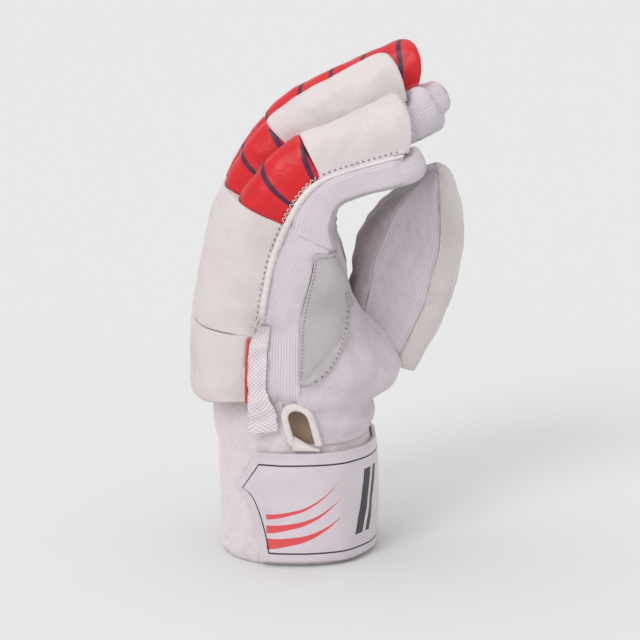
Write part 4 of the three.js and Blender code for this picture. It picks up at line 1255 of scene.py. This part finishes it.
def build_trim():
    near = -HALF_HAND - 0.5 * MM
    seam_tube("edge_binding", welt_line, WELT_START, HAND_BACK_LENGTH + 66 * MM, -0.3 * MM, near,
              1.5 * MM, binding_leather, "white_binding", "edge_welt")
    seam_tube("wrist_cord", back_line.place, 0, WRIST_PAD_LENGTH, WRIST_PAD_LIFT + 0.6 * MM,
              near - 0.7 * MM, 0.55 * MM, piping_leather, "red_piping", "wrist_piping")
    marks = np.arange(WELT_START + 2 * MM, HAND_BACK_LENGTH + 65 * MM, 2.6 * MM)
    dots = welt_line(marks, np.full_like(marks, 2.0 * MM), near - 0.1 * MM)
    stitch_row("welt_stitches", dots, "white_leather", 0.24 * MM, 0.55, dark_thread)
    marks = np.arange(84.5 * MM, 109.5 * MM, 1.15 * MM)
    zigzag = np.where(np.arange(len(marks)) % 2 == 0, 1.2 * MM, 3.0 * MM)
    stitch_row("zigzag_stitches", welt_line(marks, zigzag, near - 0.15 * MM), "white_leather",
               0.3 * MM, 0.95)

    def net_place(u, v):
        edge = ripple(np.stack([u * 9 * MM, 0 * u, 0 * u], 1), 6 * MM, 103, 2)
        distance = -15 * MM + (51 * MM) * v + 0.7 * MM * edge * (1 - v)
        wave = ripple(np.stack([u * 10 * MM, distance, 0 * u], 1), 9 * MM, 101, 2)
        ragged = ripple(np.stack([0 * u, distance, 0 * u], 1), 3.5 * MM, 102, 2)
        wide = 0.62 + 0.38 * smooth(36 * MM, 26 * MM, distance)
        flare = 4.5 * (1 - u) * (1 - smooth(-8 * MM, 7 * MM, distance))
        out = (-4.6 - flare + 8.6 * u * wide) * MM + 0.35 * MM * ragged * (2 * u - 1)
        inward = 3.6 * MM * smooth(0, -12 * MM, distance)
        return back_line.place(distance, out, near + inward - 0.5 * MM - 0.7 * MM * wave)

    middle = (SHIFT_X, SHIFT_Y, 100 * MM)
    piece = new_piece("net_strip", [(26, 130, net_place, 0.009, 0.052)], inside=middle)
    thicken(piece, 0.5 * MM)
    sewn_on(piece, net, "mesh_cloth", "mesh_trim")


def build_patch_stitches():
    height = np.linspace(2 * MM, PATCH_TOP - 2 * MM, 34)
    left = patch_point(np.full_like(height, 0.07), height, 2.1 * MM)
    rise = np.linspace(1 * MM, PATCH_SIDE_HEIGHT, 20)
    right = patch_point(np.full_like(rise, 0.93), rise, 2.1 * MM)
    across = np.linspace(0.1, 0.9, 9)
    top = patch_point(across, np.full_like(across, PATCH_TOP - 1.6 * MM), 2.1 * MM)
    for side, points in (("top", top), ("left", left), ("right", right)):
        stitch_row(f"patch_stitches_{side}", points, "grey_leather", 0.22 * MM, 0.5, dark_thread)


def build_thread_tuft():
    """Loose thread ends where the welt's stitching starts."""
    dice = random.Random(7)
    root = back_line.place(35 * MM, 1.5 * MM, -HALF_HAND - 3.6 * MM)
    sheets = []
    for _ in range(14):
        reach = dice.uniform(6, 13) * MM
        aim = math.radians(dice.uniform(35, 200))
        hang = dice.uniform(-2, 4) * MM
        side = dice.uniform(0.4, 2.2) * MM

        def place(u, v, reach=reach, aim=aim, hang=hang, side=side):
            radius = 0.42 * MM * (1 - 0.5 * v)
            x = root[0] + reach * v * math.cos(aim) + radius * np.cos(2 * math.pi * u)
            y = root[1] - side * np.sin(math.pi * v * 0.8) + radius * np.sin(2 * math.pi * u)
            z = root[2] + reach * v * math.sin(aim) - hang * v * v
            return np.stack([x, y, z], -1)

        sheets.append((5, 8, place, 0.001, reach))
    piece = new_piece("thread_tuft", sheets, seal=True)
    sewn_on(piece, white_thread, "white_leather")


def build_slit():
    """The leather binding round the wrist slit, softened, and the lining seen through it, coloured dark
    brown as painted shade for the inside of the slit.
    """
    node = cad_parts["slit_binding"]
    bm = bmesh.new()
    bm.from_mesh(node.data)
    bmesh.ops.remove_doubles(bm, verts=bm.verts, dist=0.01 * MM)
    bmesh.ops.dissolve_limit(bm, angle_limit=0.02, verts=bm.verts, edges=bm.edges)
    sharp = [edge for edge in bm.edges if edge.is_manifold and edge.calc_face_angle() > 0.6]
    bmesh.ops.bevel(bm, geom=sharp, offset=1.1 * MM, affect="EDGES", segments=4, profile=0.5, material=-1)
    for vert in bm.verts:
        vert.co.x += slit_lean(vert.co.z)
        vert.co.y -= 0.8 * MM
    sewn_on(new_object("slit_edge", bm), binding_leather, "white_binding", "slit_binding")

    def lining(u, v):
        x = SLIT_X + (u - 0.5) * (SLIT_WIDTH + 4 * MM)
        z = CUFF_HEIGHT - 4 * MM + (SLIT_HEIGHT + 5 * MM) * v
        y = -CUFF_WIDTH / 2 + 5.5 * MM - 3 * MM * (2 * u - 1) ** 2
        return np.stack([x + slit_lean(z) + SHIFT_X, y + SHIFT_Y + 0 * x, z], -1)

    def flap(u, v):
        low = CUFF_HEIGHT - 2 * MM
        x = SLIT_X - SLIT_WIDTH / 2 - 2 * MM + (SLIT_WIDTH + 3.5 * MM) * u
        z = low + (8 * MM * (1 - u) ** 1.3 + 1 * MM) * v
        y = -CUFF_WIDTH / 2 - 0.2 * MM - 1.3 * MM * np.sin(math.pi * v) + 1.2 * MM * v
        return np.stack([x + slit_lean(z) + SHIFT_X, y + SHIFT_Y - 0.8 * MM + 0 * x, z], -1)

    behind = (SHIFT_X, SHIFT_Y, 66 * MM)
    inner = new_piece("slit_lining", [(16, 24, lining, 0.013, 0.022)], inside=behind)
    thicken(inner, 0.8 * MM)
    sewn_on(inner, lining_painted_shade, "palm_leather")
    fold = new_piece("slit_fold", [(24, 16, flap, 0.012, 0.012)], inside=behind)
    thicken(fold, 1.2 * MM)
    sewn_on(fold, binding_leather, "white_binding")


build_trim()
build_patch_stitches()
build_thread_tuft()
build_slit()


# Floor, backdrop, lights and camera

STAGE_SIZE = 30
CAMERA_AWAY = 1.3
CAMERA_LENS_MM = 155.6
CAMERA_TILT = 12
CAMERA_AIM = (10 * MM, 0, 108 * MM)


def build_stage():
    def place(u, v):
        x = (u - 0.5) * STAGE_SIZE
        return np.stack([x, (v - 0.5) * STAGE_SIZE, 0 * x], -1)

    floor = new_piece("floor", [(8, 8, place, STAGE_SIZE, STAGE_SIZE)], inside=(0, 0, 5))
    edited(floor, lambda bm: bmesh.ops.reverse_faces(bm, faces=bm.faces))
    finish = Finish("studio_paper", 0.9, Specular_IOR_Level=0.1)
    finish.colour(srgb(223, 223, 223))
    floor.data.materials.append(finish.material)


def soft_sun(name, way, spread, strength):
    """A wide soft light from a direction, even over the whole floor."""
    lamp = bpy.data.lights.new(name, "SUN")
    lamp.angle = math.radians(spread)
    lamp.energy = strength
    sun = bpy.data.objects.new(name, lamp)
    sun.location = Vector(way) * 2
    sun.rotation_euler = Vector(way).to_track_quat("Z", "Y").to_euler()
    bpy.context.scene.collection.objects.link(sun)


def build_studio():
    build_stage()
    world = bpy.data.worlds.new("studio")
    world.use_nodes = True
    world.node_tree.nodes["Background"].inputs[0].default_value = (1, 1, 1, 1)
    world.node_tree.nodes["Background"].inputs[1].default_value = 0.74
    bpy.context.scene.world = world
    bpy.context.scene.view_settings.view_transform = "Standard"
    soft_sun("key", (-0.5, -0.83, 0.7), 24, 0.98)
    soft_sun("top", (-0.1, 0.1, 1), 60, 0.56)
    camera = bpy.data.cameras.new("camera")
    camera.sensor_width = 36
    camera.lens = CAMERA_LENS_MM
    camera.clip_start = 0.05
    camera.clip_end = STAGE_SIZE
    view = bpy.data.objects.new("camera", camera)
    target = Vector(CAMERA_AIM) + Vector((SHIFT_X, SHIFT_Y, 0))
    tilt = math.radians(CAMERA_TILT)
    view.location = target + CAMERA_AWAY * Vector((0, -math.cos(tilt), math.sin(tilt)))
    view.rotation_euler = (target - view.location).to_track_quat("-Z", "Y").to_euler()
    bpy.context.scene.collection.objects.link(view)
    bpy.context.scene.camera = view


build_studio()
